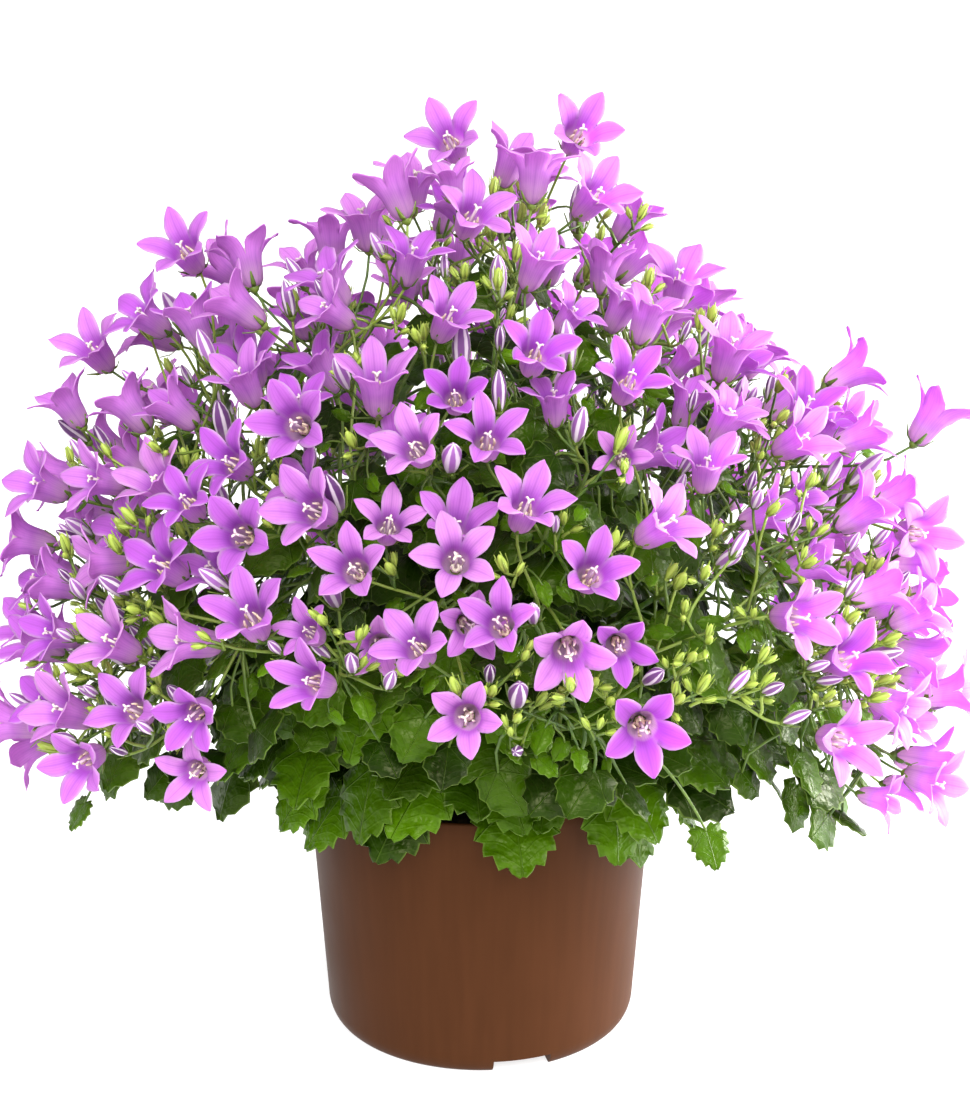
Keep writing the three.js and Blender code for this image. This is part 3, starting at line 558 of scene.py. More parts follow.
def nearest_fork(forks, leaf):
    """The free fork with the shortest stalk that meets stem, blade and other stalk cleanly."""
    found = []
    for fork in forks:
        heading = leaf["at"] - fork["at"]
        span = length_of(heading)
        if LEAST_LEAF_STALK < span < LEAF_STALK_LIMIT and len(fork["leaves"]) < LEAVES_PER_FORK:
            found.append((span, fork, heading))
    found.sort(key=lambda entry: entry[0])
    for _, fork, heading in found:
        spreads = [angle_between(heading, other["at"] - fork["at"]) for other in fork["leaves"]]
        is_clean = (
            LEAF_FORK_ANGLES[0] < angle_between(heading, fork["heading"]) < LEAF_FORK_ANGLES[1]
            and angle_between(heading, leaf["heading"]) < MOST_LEAF_NOD
            and all(spread > LEAST_LEAF_SPREAD for spread in spreads)
        )
        if is_clean:
            return fork
    return None


def make_leaf(middle, normal, falling, size):
    heading = unit_of(falling - normal * (falling @ normal))
    return {"at": middle - heading * LEAF_MIDDLE * size, "heading": heading, "normal": normal, "size": size}


def place_leaf(clearance, forks, draw, row, k):
    count, row_radius, sideways, height, tilt, droop, row_size = row
    for tries in range(LEAF_TRIES):
        turn = 360 * (k + 0.5 + (draw() - 0.5) * (1 + tries / 20)) / count
        size = row_size * (0.85 + 0.3 * draw())
        radius = row_radius + sideways * math.cos(math.radians(turn)) ** 2
        middle = direction(turn, 0) * (radius + 12 * (draw() - 0.5) + tries * 0.3)
        middle[2] = height + 10 * (draw() - 0.5)
        angle = 22 * draw()
        normal = tipped(direction(turn, tilt), angle, 360 * draw())
        leaf = make_leaf(middle, normal, direction(turn + 70 * (draw() - 0.5), -droop), size)
        fork = nearest_fork(forks, leaf)
        if fork is None:
            continue
        blade = leaf_balls(leaf)
        stalk = stalk_balls(fork["at"], leaf["at"], STALK_ROOM, LEAF_FORK_ROOM)
        is_clear = is_clear_of_pot(blade) and is_clear_of_pot(stalk)
        if is_clear and clearance.take(blade, stalk):
            fork["leaves"].append(leaf)
            return


def lay_out_plant():
    """The whole plant by the part's own rules, so that each fine piece lies where its solid is."""
    draw = SeededDraws(LAYOUT_SEED)
    stems = [make_stem(unit) for unit in lattice_directions(STEM_LATTICE, STEM_LATTICE_TURN, STEM_MARGIN)]
    clearance = Clearance()
    for stem in stems:
        make_branches(stem, 120 * draw())
        path = [stem["curve"][0], *[fork["at"] for fork in stem["forks"]], stem["hub"]]
        for start, end in zip(path, path[1:]):
            clearance.add(stalk_balls(start, end, STEM_ROOM))
        for branch in stem["branches"]:
            tip = branch["at"] + branch["unit"] * LAST_FORK * FORK_STEP
            clearance.add(stalk_balls(stem["hub"], branch["at"], BRANCH_ROOM))
            clearance.add(stalk_balls(branch["at"], tip, BRANCH_ROOM))
    branches = [branch for stem in stems for branch in stem["branches"]]
    forks = [fork for stem in stems for fork in stem["forks"]]
    place_flowers(clearance, branches, draw)
    place_buds(clearance, branches, draw)
    for row in LEAF_ROWS:
        for k in range(row[0]):
            place_leaf(clearance, forks, draw, row, k)
    return stems, clearance


POINT_VALUES = ("along", "across", "face", "tone", "edge")


class Pile:
    """Points, faces and point values of one piece, gathered from many small closed forms."""

    def __init__(self):
        self.points = []
        self.faces = []
        self.kinds = []
        self.values = {name: [] for name in POINT_VALUES}
        self.count = 0

    def add(self, form, kind, tone=0.0):
        points, faces, values = form
        self.points.append(points)
        for block in faces:
            self.faces.append(block + self.count)
            self.kinds.append(np.full(len(block), kind))
        for name in POINT_VALUES:
            given = tone if name == "tone" else values.get(name, 0.0)
            self.values[name].append(np.broadcast_to(given, len(points)))
        self.count += len(points)

    def build(self, name, materials):
        """One smooth mesh object, in metres, with a point value for each name."""
        mesh = bpy.data.meshes.new(name)
        corners = np.concatenate([block.ravel() for block in self.faces])
        totals = np.concatenate([np.full(len(block), block.shape[1]) for block in self.faces])
        starts = np.concatenate([[0], np.cumsum(totals)[:-1]])
        mesh.vertices.add(self.count)
        mesh.vertices.foreach_set("co", (np.concatenate(self.points) * MM).ravel())
        mesh.loops.add(len(corners))
        mesh.loops.foreach_set("vertex_index", corners.astype(np.int32))
        mesh.polygons.add(len(totals))
        mesh.polygons.foreach_set("loop_start", starts.astype(np.int32))
        mesh.polygons.foreach_set("loop_total", totals.astype(np.int32))
        mesh.polygons.foreach_set("material_index", np.concatenate(self.kinds).astype(np.int32))
        mesh.polygons.foreach_set("use_smooth", np.ones(len(totals), bool))
        for value_name in POINT_VALUES:
            layer = mesh.attributes.new(value_name, "FLOAT", "POINT")
            layer.data.foreach_set("value", np.concatenate(self.values[value_name]).astype(np.float32))
        for material_name in materials:
            mesh.materials.append(MATERIALS[material_name])
        mesh.update(calc_edges=True)
        piece = bpy.data.objects.new(name, mesh)
        bpy.context.scene.collection.objects.link(piece)
        return piece


def grid_faces(rows, columns, is_closed):
    """Quads between rows of points, the rows closed into rings or left open."""
    row = np.arange(rows - 1)[:, None] * columns
    column = np.arange(columns if is_closed else columns - 1)[None, :]
    low, low_next = row + column, row + (column + 1) % columns
    return np.stack([low, low_next, low_next + columns, low + columns], -1).reshape(-1, 4)


def closed_rings(rings, first, last, values):
    """A closed form from rings of points, with a point beyond each end."""
    rows, sides, _ = rings.shape
    points = np.concatenate([rings.reshape(-1, 3), [first, last]])
    around = np.arange(sides)
    following = (around + 1) % sides
    top = (rows - 1) * sides
    ends = np.full(sides, rows * sides)
    faces = [
        grid_faces(rows, sides, True),
        np.stack([following, around, ends], -1),
        np.stack([top + around, top + following, ends + 1], -1),
    ]
    full = {}
    for name, value in values.items():
        value = np.broadcast_to(value, (rows, sides))
        full[name] = np.concatenate([value.ravel(), [value[0].mean(), value[-1].mean()]])
    return points, faces, full


def path_frames(path):
    """Headings along a path, and a side at each point that turns as little as can be."""
    headings = np.gradient(path, axis=0)
    headings /= np.linalg.norm(headings, axis=1)[:, None]
    side, _ = square_to(headings[0])
    sides = []
    for heading in headings:
        side = unit_of(side - heading * (side @ heading))
        sides.append(side)
    sides = np.array(sides)
    return headings, sides, np.cross(headings, sides)


def tube(path, radii, sides, bulge=0.6):
    """A round stalk along a path, with rounded ends."""
    path = np.asarray(path, float)
    radii = np.broadcast_to(radii, len(path))
    headings, side, over = path_frames(path)
    turns = 2 * math.pi * np.arange(sides) / sides
    spokes = np.cos(turns)[None, :, None] * side[:, None] + np.sin(turns)[None, :, None] * over[:, None]
    rings = path[:, None] + spokes * radii[:, None, None]
    along = np.linspace(0, 1, len(path))[:, None]
    first = path[0] - headings[0] * radii[0] * bulge
    last = path[-1] + headings[-1] * radii[-1] * bulge
    return closed_rings(rings, first, last, {"along": along})


def blade(path, half_widths, across, half_thickness):
    """A narrow pointed blade, such as a sepal, four-sided in section."""
    path = np.asarray(path, float)
    headings = np.gradient(path, axis=0)
    normals = unit_rows(np.cross(headings, across))
    wide = np.array(half_widths)[:, None] * across
    thick = normals * half_thickness
    rings = np.stack([path - wide, path - thick, path + wide, path + thick], 1)
    heading = unit_of(headings[-1])
    along = np.linspace(0, 1, len(path))[:, None]
    return closed_rings(rings, path[0], path[-1] + heading * half_widths[-1], {"along": along})


def unit_rows(vectors):
    return vectors / np.linalg.norm(vectors, axis=-1, keepdims=True)


def eased_path(start, start_heading, end, end_heading, count, pull=0.38):
    """A smooth curve between two points that leaves and arrives in given headings."""
    reach = length_of(end - start) * pull
    t = np.linspace(0, 1, count)[:, None]
    near = start + unit_of(start_heading) * reach
    far = end - unit_of(end_heading) * reach
    return (1 - t) ** 3 * start + 3 * (1 - t) ** 2 * t * near + 3 * (1 - t) * t * t * far + t**3 * end


def placed(form, at, side, axis, size):
    """A form set at a point with its own X along side and Z along axis."""
    points, faces, values = form
    frame_rows = np.array([side, cross(axis, side), axis])
    return at + (points * size) @ frame_rows, faces, values


def boundary_edges(quads):
    edges = np.concatenate([quads[:, [k, (k + 1) % 4]] for k in range(4)])
    known = set(map(tuple, edges.tolist()))
    return np.array([edge for edge in edges.tolist() if (edge[1], edge[0]) not in known])


def thickened(points, quads, rim, half_thickness, values):
    """A closed thin shell round a surface, with its outer side first."""
    corners = points[quads]
    normals = np.cross(corners[:, 2] - corners[:, 0], corners[:, 3] - corners[:, 1])
    sums = np.zeros_like(points)
    for k in range(4):
        np.add.at(sums, quads[:, k], normals)
    offset = unit_rows(sums) * half_thickness
    count = len(points)
    start, end = rim[:, 0], rim[:, 1]
    faces = [quads, quads[:, ::-1] + count, np.stack([end, start, start + count, end + count], -1)]
    full = {name: np.tile(np.broadcast_to(value, count), 2) for name, value in values.items()}
    full["face"] = np.repeat([0.0, 1.0], count)
    return np.concatenate([points + offset, points - offset]), faces, full


# Corolla: height and radius of the bell's rows, and how the five lobes grow from its mouth
MOUTH_RADIUS = 5.0
MOUTH_RISE = 10.2
BELL_ROWS = [(0, 1.3), (0.9, 2.6), (2.6, 3.6), (5.4, 4.15), (8.2, 4.5), (MOUTH_RISE, MOUTH_RADIUS)]
LOBE_COLUMNS = 4
LOBE_SHARES = np.array([0.14, 0.31, 0.49, 0.66, 0.81, 0.93, 1.0])
LOBE_HALF_WIDTH = MOUTH_RADIUS * math.pi / LOBES
PETAL_HALF_THICKNESS = 0.14
BELL_PLEAT = 0.16
LOBE_CREASE = 0.75


def corolla_quads():
    around = LOBES * LOBE_COLUMNS
    bell_count = len(BELL_ROWS) * around
    quads = [grid_faces(len(BELL_ROWS), around, True)]
    columns = np.arange(LOBE_COLUMNS + 1)
    for lobe in range(LOBES):
        mouth = bell_count - around + (lobe * LOBE_COLUMNS + columns) % around
        first = bell_count + lobe * len(LOBE_SHARES) * len(columns)
        rows = first + np.arange(len(LOBE_SHARES))[:, None] * len(columns) + columns
        ids = np.concatenate([mouth[None], rows])
        quads.append(np.stack([ids[:-1, :-1], ids[:-1, 1:], ids[1:, 1:], ids[1:, :-1]], -1).reshape(-1, 4))
    return np.concatenate(quads)


COROLLA_QUADS = corolla_quads()
COROLLA_RIM = boundary_edges(COROLLA_QUADS)


def ring_points(radii, turns, rise):
    """Points round Z at one rise, with a radius for each turn."""
    return np.stack([radii * np.cos(turns), radii * np.sin(turns), np.full(len(turns), rise)], -1)


def corolla(looks):
    """The bell and its lobes as a thin shell, in millimetres at size 1, axis along Z."""
    around = LOBES * LOBE_COLUMNS
    turns = np.radians(-36 + 360 * np.arange(around) / around)
    points, along, across = [], [], []
    sector = ((np.arange(around) % LOBE_COLUMNS) / LOBE_COLUMNS) * 2 - 1
    for rise, radius in BELL_ROWS:
        share = rise / MOUTH_RISE
        pleated = radius * (1 + BELL_PLEAT * share * (1 - share) * np.cos(LOBES * turns))
        points.append(ring_points(pleated, turns, rise))
        along.append(np.full(around, share))
        across.append(1 - np.abs(sector))
    u = np.linspace(-1, 1, LOBE_COLUMNS + 1)
    flare = looks.uniform(-1.7, 1.1)
    fullness = looks.uniform(0.55, 1.1)
    for lobe in range(LOBES):
        open_share = flare + looks.uniform(-0.35, 0.35)
        phase = looks.uniform(0, 2 * math.pi)
        wave = looks.uniform(0.15, 0.6)
        skew = looks.uniform(-0.5, 0.5)
        tip = np.array([FLOWER_RADIUS + 0.9 * open_share, FLOWER_LENGTH - 0.4 - 1.3 * open_share])
        bend = np.array([MOUTH_RADIUS + 1.6 + 0.5 * open_share, MOUTH_RISE + 6.0])
        mouth = np.array([MOUTH_RADIUS, MOUTH_RISE])
        turn = math.radians(LOBE_TURN * lobe)
        outward = vec(math.cos(turn), math.sin(turn), 0)
        sideways = vec(-math.sin(turn), math.cos(turn), 0)
        for t in LOBE_SHARES:
            centre = (1 - t) ** 2 * mouth + 2 * (1 - t) * t * bend + t * t * tip
            heading = unit_of((1 - t) * (bend - mouth) + t * (tip - bend))
            normal = outward * heading[1] - UP * heading[0]
            half_width = max(LOBE_HALF_WIDTH * (1 + fullness * t) * (1 - t**2.3) ** 0.8, 0.25)
            curve = (1 - t / 0.5) / MOUTH_RADIUS
            curve = curve if abs(curve) > 0.001 else 0.001
            s = u * half_width
            lift = (np.cos(curve * s) - 1) / curve
            lift += LOBE_CREASE * math.sin(math.pi * t) * (1 - np.abs(u)) ** 2
            lift += wave * u * u * np.sin(8 * t + phase + 1.5 * u)
            shift = np.sin(curve * s) / curve + skew * t * t
            middle = outward * centre[0] + UP * centre[1]
            points.append(middle + shift[:, None] * sideways + lift[:, None] * normal)
            along.append(np.full(len(u), 1 + t))
            across.append(1 - np.abs(u))
    values = {"along": np.concatenate(along), "across": np.concatenate(across)}
    return thickened(np.concatenate(points), COROLLA_QUADS, COROLLA_RIM, PETAL_HALF_THICKNESS, values)


def polar(radius, turn, rise):
    turn = math.radians(turn)
    return vec(radius * math.cos(turn), radius * math.sin(turn), rise)


def ring_form(rows, sides, first, last, pleat=0.0):
    """A closed form turned about Z from rows of radius and rise, with five pleats round it."""
    turns = 2 * math.pi * np.arange(sides) / sides
    wave = np.cos(LOBES * turns)
    rings = [ring_points(radius * (1 + pleat * wave), turns, rise) for radius, rise in rows]
    along = np.array([(rise - first) / (last - first) for _, rise in rows])[:, None]
    values = {"along": along, "across": wave[None, :]}
    return closed_rings(np.array(rings), vec(0, 0, first), vec(0, 0, last), values)


CUP_ROWS = [(0.75, -1.5), (1.45, -0.8), (1.95, 0.4), (1.4, 1.0)]
STIGMA_PATH = [(0.15, -0.4), (0.5, 0.7), (1.1, 0.9), (1.4, 0.4)]
DISC_ROWS = [(1.0, 0.9), (1.7, 1.3), (1.1, 1.9)]
BUD_CUP_ROWS = [(0.05, -0.1), (0.12, -0.02), (0.11, 0.07)]


def between_lobes(k):
    return LOBE_TURN * (k + 0.5)


def sepal(turn, rows, half_widths, half_thickness):
    """A sepal whose path is given by its distance from the axis and its rise."""
    path = [polar(out, turn, rise) for out, rise in rows]
    return blade(path, half_widths, polar(1, turn + 90, 0), half_thickness)


def calyx_forms(looks, spread):
    """The green cup at a flower's foot and its five narrow sepals between the lobes."""
    forms = [ring_form(CUP_ROWS, 8, -1.9, 1.2)]
    for k in range(LOBES):
        turn = between_lobes(k) + looks.uniform(-5, 5)
        out = spread + looks.uniform(-0.3, 0.3)
        rows = [(1.6, 0.1), (1.6 + 1.8 * out, 1.0), (1.6 + 3.7 * out, 4.0 + 2.2 * (1 - out))]
        forms.append(sepal(turn, rows, [0.75, 0.8, 0.3], 0.16))
    return forms


def heart_forms(looks):
    """The style with its three-part stigma, and the five stamens round its foot."""
    top = looks.uniform(11.5, 13.5)
    style = [tube([vec(0, 0, 1.2), vec(0.1, 0, 0.5 * top), vec(0, 0.1, top)], [0.55, 0.42, 0.5], 5)]
    turn = looks.uniform(0, 120)
    for k in range(3):
        facing = turn + 120 * k
        arm = [polar(out, facing, top + rise) for out, rise in STIGMA_PATH]
        style.append(tube(arm, [0.45, 0.44, 0.4, 0.3], 4))
    stamens = []
    for k in range(LOBES):
        facing = between_lobes(k) + looks.uniform(-8, 8)
        out = looks.uniform(1.8, 2.6)
        stalk = [polar(1.2, facing, 1.4), polar(out, facing + 6, 6.2)]
        anther = [
            polar(out, facing + 6, 6.0),
            polar(out + 0.2, facing + 8, 7.6),
            polar(out - 0.3, facing + 12, 9.6),
        ]
        stamens.append(tube(stalk, 0.22, 3))
        stamens.append(tube(anther, [0.34, 0.5, 0.24], 4))
    return style, [ring_form(DISC_ROWS, 6, 0.8, 2.2), *stamens]


# Radius and rise of the rows of a bud of size 1
BUD_RADII = (0.08, 0.12, 0.158, 0.172, 0.158, 0.115, 0.06)
BUD_ROWS = list(zip(BUD_RADII, (0.0, 0.13, 0.31, 0.5, 0.67, 0.82, 0.94)))
YOUNG_BUD_ROWS = [(0.08, 0.0), (0.15, 0.14), (0.18, 0.34), (0.15, 0.55), (0.08, 0.72)]


def bud_forms(looks, is_young):
    """A pleated bud of size 1 and its calyx, whose sepals hug the bud."""
    if is_young:
        bud = ring_form(YOUNG_BUD_ROWS, 8, -0.03, 0.8)
    else:
        bud = ring_form(BUD_ROWS, 15, -0.03, 1.0, 0.07)
    cup = ring_form(BUD_CUP_ROWS, 6, -0.13, 0.1)
    sepals = []
    height = 0.75 if is_young else 0.42
    for k in range(LOBES):
        turn = between_lobes(k) + looks.uniform(-6, 6)
        rows = [(0.11, 0.02), (0.21, 0.45 * height), (0.24 if is_young else 0.3, height)]
        sepals.append(sepal(turn, rows, [0.06, 0.05, 0.02], 0.012))
    return bud, [cup, *sepals]


# Teeth on a side of a leaf, rows of points for each tooth, and columns across the blade
FULL_LEAF = (7, 3, 7)
INNER_LEAF = (6, 2, 3)
SMALL_LEAF = (5, 2, 3)
# Shares of the turn from a leaf's tip round to its notch, and the reach of its edge there
LEAF_TURNS = [0, 0.1, 0.22, 0.4, 0.55, 0.68, 0.8, 0.9, 1.0]
LEAF_REACHES = [0.67, 0.58, 0.54, 0.52, 0.55, 0.59, 0.6, 0.52, 0.34]


def leaf_form(size, width, looks, teeth, rows_per_tooth, columns):
    """A cupped heart-shaped blade with coarse teeth, of size 1, its stalk end at the origin."""
    rows = teeth * rows_per_tooth
    share = np.linspace(0.02, 0.975, rows)
    tooth = (share * teeth + 0.15) % 1
    depth = looks.uniform(0.11, 0.15) * np.clip(share * 8, 0.3, 1) * np.clip((1 - share) * 6, 0.1, 1)
    reach = np.interp(share, LEAF_TURNS, LEAF_REACHES) + depth * (0.6 - tooth)
    edge_x = width * reach * np.sin(math.pi * share)
    edge_y = 0.33 + reach * np.cos(math.pi * share)
    v = np.linspace(-1, 1, columns)[None, :]
    middle_y = ((1 - share) ** 1.25)[:, None]
    x = v * edge_x[:, None]
    y = middle_y + (edge_y[:, None] - middle_y) * np.abs(v) ** 1.3
    z = -0.32 * looks.uniform(0.6, 1.5) * (x * x + 0.35 * (y - 0.35) ** 2)
    z += looks.uniform(0.0, 0.2) * (np.abs(x) - 0.15)
    z += looks.uniform(0.015, 0.04) * np.abs(v) ** 2 * np.sin(16 * y + looks.uniform(0, 6) + 2 * np.sign(v))
    points = np.stack([x, y, z], -1).reshape(-1, 3)
    quads = grid_faces(rows, columns, False)
    edge = np.broadcast_to(np.abs(v), x.shape)
    values = {"along": y.ravel(), "across": x.ravel(), "edge": edge.ravel()}
    return thickened(points, quads, boundary_edges(quads), -0.22 / size, values)


def placed_leaf(leaf, looks):
    width, detail = leaf.get("width", 1.0), leaf.get("detail", FULL_LEAF)
    points, faces, values = leaf_form(leaf["size"], width, looks, *detail)
    across = cross(leaf["heading"], leaf["normal"])
    frame_rows = np.array([across, leaf["heading"], leaf["normal"]])
    return leaf["at"] + (points * leaf["size"]) @ frame_rows, faces, values


# Radii of a stem, branch and shoot at their two ends
STEM_RADII = (1.25, 0.95)
BRANCH_RADII = (0.8, 0.6)
SHOOT_RADII = (0.56, 0.44)
# Materials of a spray's flowers and of green pieces, and their numbers within a piece
BLOOM_MATERIALS = ("petal", "bud", "heart", "anther")
PETAL, STRIPED, HEART, ANTHER = 0, 1, 2, 3
GREEN_MATERIALS = ("stalk", "leaf")
STALK, BLADE = 0, 1


def add_forms(pile, forms, shoot, side, kind, tone):
    for form in forms:
        pile.add(placed(form, shoot["at"], side, shoot["axis"], shoot["size"]), kind, tone)


def add_flower(petals, greens, flower, looks):
    side = lobe_sides(flower)[0]
    tone = looks.uniform(0, 1)
    add_forms(petals, [corolla(looks)], flower, side, PETAL, tone)
    style, stamens = heart_forms(looks)
    add_forms(petals, style, flower, side, HEART, tone)
    add_forms(petals, stamens, flower, side, ANTHER, tone)
    calyx = calyx_forms(looks, looks.uniform(0.75, 1.2))
    add_forms(greens, calyx, flower, side, STALK, 0.25 + 0.3 * tone)


def add_bud(petals, greens, bud, looks):
    side, _ = square_to(bud["axis"])
    tone = looks.uniform(0, 1)
    form, calyx = bud_forms(looks, bud["is_young"])
    if bud["is_young"]:
        add_forms(greens, [form], bud, side, STALK, 0.9)
    else:
        add_forms(petals, [form], bud, side, STRIPED, tone)
    add_forms(greens, calyx, bud, side, STALK, 0.75 if bud["is_young"] else 0.4)


def shoot_path(fork, lead, shoot, count=8):
    straight = unit_of(shoot["at"] - fork)
    path = eased_path(fork, straight + 0.5 * lead, shoot["at"], shoot["axis"] + 0.5 * straight, count)
    path[-1] = shoot["at"] - shoot["axis"] * 0.8
    return path


def add_shoot(petals, greens, fork, lead, shoot, looks):
    """A flower or bud on its own curved stalk."""
    count = 4 if shoot.get("is_young") else 7
    path = shoot_path(fork, lead, shoot, count)
    tone = looks.uniform(0.1, 0.7)
    greens.add(tube(path, np.linspace(*SHOOT_RADII, count), 4 if count == 4 else 5), STALK, tone)
    if shoot["kind"] == "flower":
        add_flower(petals, greens, shoot, looks)
    else:
        add_bud(petals, greens, shoot, looks)


def spray_pieces(number, stem, extras, looks):
    """The petals and the green parts of one spray."""
    petals, greens = Pile(), Pile()
    for branch in stem["branches"]:
        if not branch["shoots"]:
            continue
        last = fork_of_shoot(branch, len(branch["shoots"]) - 1)
        arm = eased_path(stem["hub"], stem["unit"], branch["at"], branch["unit"], 8)
        path = np.concatenate([arm, [last]]) if length_of(last - branch["at"]) > 1 else arm
        greens.add(tube(path, np.linspace(*BRANCH_RADII, len(path)), 6), STALK, 0.35)
        for index, shoot in enumerate(branch["shoots"]):
            add_shoot(petals, greens, fork_of_shoot(branch, index), branch["unit"], shoot, looks)
    for anchor, lead, shoot in extras:
        add_shoot(petals, greens, anchor, lead, shoot, looks)
    node = f"flower_spray_{number:02d}"
    bloom = petals.build(f"spray_{number:02d}_petals", BLOOM_MATERIALS)
    green = greens.build(f"spray_{number:02d}_stalks", GREEN_MATERIALS)
    for piece, slot in ((bloom, "blossom"), (green, "foliage")):
        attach(piece, "root")
        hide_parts(node)


def stem_piece(number, stem, extras, looks):
    """A leafy stem with its leaves and their stalks."""
    pile = Pile()
    shares = np.linspace(0, 1, 16)
    arch = np.array([bezier_point(stem["curve"], t) for t in shares])
    path = np.concatenate([[stem["root"]], arch])
    pile.add(tube(path, np.linspace(*STEM_RADII, len(path)), 8), STALK, 0.0)
    for fork in stem["forks"]:
        for leaf in fork["leaves"]:
            add_leaf(pile, fork["at"], fork["heading"], leaf, looks)
    for anchor, heading, leaf in extras:
        add_leaf(pile, anchor, heading, leaf, looks)
    piece = pile.build(f"stem_{number:02d}", GREEN_MATERIALS)
    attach(piece, "root")
    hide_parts(f"leafy_stem_{number:02d}")


def add_leaf(pile, anchor, lead, leaf, looks):
    is_full = "detail" not in leaf
    straight = unit_of(leaf["at"] - anchor)
    count = 9 if is_full else 5
    path = eased_path(anchor, straight + 0.5 * lead, leaf["at"], leaf["heading"] + 0.6 * straight, count)
    thin = min(0.72, 0.25 + 0.025 * leaf["size"])
    stalk = tube(path, np.linspace(thin, 0.8 * thin, count), 6 if is_full else 4)
    pile.add(stalk, STALK, looks.uniform(0.05, 0.35))
    pile.add(placed_leaf(leaf, looks), BLADE, leaf.get("tone", looks.uniform(0.1, 0.95)))


# Fillings: leaves inside the crown, darker the deeper they stand as painted shade, and small leaves, flowers
# and buds between the big flowers
FILL_SEED = 7
FILL_STALK_ROOM = 0.6
FILL_STALK_SKIP = 2.5
# Tries, sizes, shares of the crown's reach, tones (the low tones deep in the crown are painted shade),
# longest stalk, share of the full room, and form
FILL_LEAVES = [
    (1500, (18, 25), (0.12, 0.6), (0.0, 0.25), 45, 0.6, INNER_LEAF),
    (5000, (11, 19), (0.28, 0.84), (0.0, 0.5), 32, 0.6, INNER_LEAF),
    (4500, (5, 9), (0.72, 0.96), (0.4, 1.0), 13, 0.35, SMALL_LEAF),
]
FILL_LEAF_NOD = 80
SMALL_LEAF_WIDTHS = (0.55, 0.8)
FILL_FLOWER_TRIES = 3000
FILL_FLOWER_ROOM = 0.78
FILL_FLOWER_REACH = 40.0
FILL_FLOWER_SIZE = 0.74
FILL_SHOOT_NOD = 60
FILL_BUD_TRIES = 5600
FILL_BUD_REACH = 30.0
FILL_YOUNG_SHARE = 0.62
SIDE_BUD_SIZE = 5.5
SIDE_BUD_LEAN = 48
# Turn, lift, size and tone of leaves on long bare stalks that trail out below the crown
TRAILING_LEAVES = [(-61.9, 8.7, 12, 0.5), (-150, 3, 10, 0.6)]
TRAILING_DEPTH = 12.0
# Turn and lift of the places where more of the small flowers stand, and the tries for all of them
LOW_PLACES = [(-119, 13), (-127, 19), (-132, 12), (-138, 1), (-146, 8), (-128, 6), (-35, 2), (-150, -3)]
LOW_TRIES = 40 * len(LOW_PLACES)


class Anchors:
    """Places on the stems, branches and stalks where small shoots may start."""

    def __init__(self, stems):
        self.points, self.leads, self.owners = np.zeros((0, 3)), [], []
        for index, stem in enumerate(stems):
            for t in np.linspace(0.12, 1, 10):
                self.add(bezier_point(stem["curve"], t), bezier_heading(stem["curve"], t), index)
            for branch in stem["branches"]:
                for number, shoot in enumerate(branch["shoots"]):
                    path = shoot_path(fork_of_shoot(branch, number), branch["unit"], shoot)
                    for k in (2, 4):
                        self.add(path[k], unit_of(path[k + 1] - path[k]), index)

    def add(self, point, lead, owner):
        self.points = np.vstack([self.points, point])
        self.leads.append(lead)
        self.owners.append(owner)

    def nearest(self, at):
        spans = np.linalg.norm(self.points - at, axis=1)
        k = int(spans.argmin())
        return self.points[k], self.leads[k], self.owners[k], spans[k]


def fits(clearance, start, shoot, balls):
    """Whether a small shoot and its stalk cross nothing; if so, their room is taken."""
    stalk = stalk_balls(start, shoot["at"], FILL_STALK_ROOM, FILL_STALK_SKIP)
    return is_clear_of_pot(balls) and clearance.take(balls, stalk)


def fill_flower(looks, k):
    """A small open flower, first in the low places, then in the crown, every other one at its upper front."""
    if k < LOW_TRIES:
        turn, lift = LOW_PLACES[k % len(LOW_PLACES)]
        unit = tipped(direction(turn, lift), looks.uniform(0, 7), looks.uniform(0, 360))
        depth = looks.uniform(2, 45)
    else:
        unit = dart_direction(looks.random, 3)
        while k % 2 and (unit[1] > 0.1 or unit[2] < 0.5):
            unit = dart_direction(looks.random, 3)
        depth = looks.uniform(0, 40)
    return make_random_flower(looks.random, unit, depth, FILL_FLOWER_SIZE)


def fill_flowers(looks, anchors, clearance, shoots):
    for k in range(FILL_FLOWER_TRIES):
        flower = fill_flower(looks, k)
        start, lead, owner, span = anchors.nearest(flower["at"])
        nod = angle_between(flower["at"] - start, flower["axis"])
        is_near = 5 < span < FILL_FLOWER_REACH and nod < FILL_SHOOT_NOD
        is_wanted = k < LOW_TRIES or not is_bare(unit_of(flower["at"] - CROWN_CENTRE))
        middles, radii = flower_balls(flower)
        if is_near and is_wanted and fits(clearance, start, flower, (middles, radii * FILL_FLOWER_ROOM)):
            shoots[owner].append((start, lead, flower))


def add_trailing_leaves(anchors, clearance, leaves):
    for turn, lift, size, tone in TRAILING_LEAVES:
        unit = direction(turn, lift)
        at = crown_point(unit, TRAILING_DEPTH)
        heading = direction(turn, -55)
        leaf = {"at": at, "heading": heading, "normal": direction(turn, 35), "size": size, "tone": tone}
        start, lead, owner, _ = anchors.nearest(at)
        middles, radii = leaf_balls(leaf)
        if fits(clearance, start, leaf, (middles, radii * 0.5)):
            leaves[owner].append((start, lead, leaf))


def fill_leaf(looks, sizes, shares):
    unit = dart_direction(looks.random, -8)
    middle = CROWN_CENTRE + unit * crown_reach(unit) * looks.uniform(*shares)
    size = looks.uniform(*sizes)
    normal = tipped(direction(turn_of(unit), 40), looks.uniform(0, 40), looks.uniform(0, 360))
    falling = direction(turn_of(unit) + looks.uniform(-60, 60), looks.uniform(-40, 20))
    return make_leaf(middle, normal, falling, size)


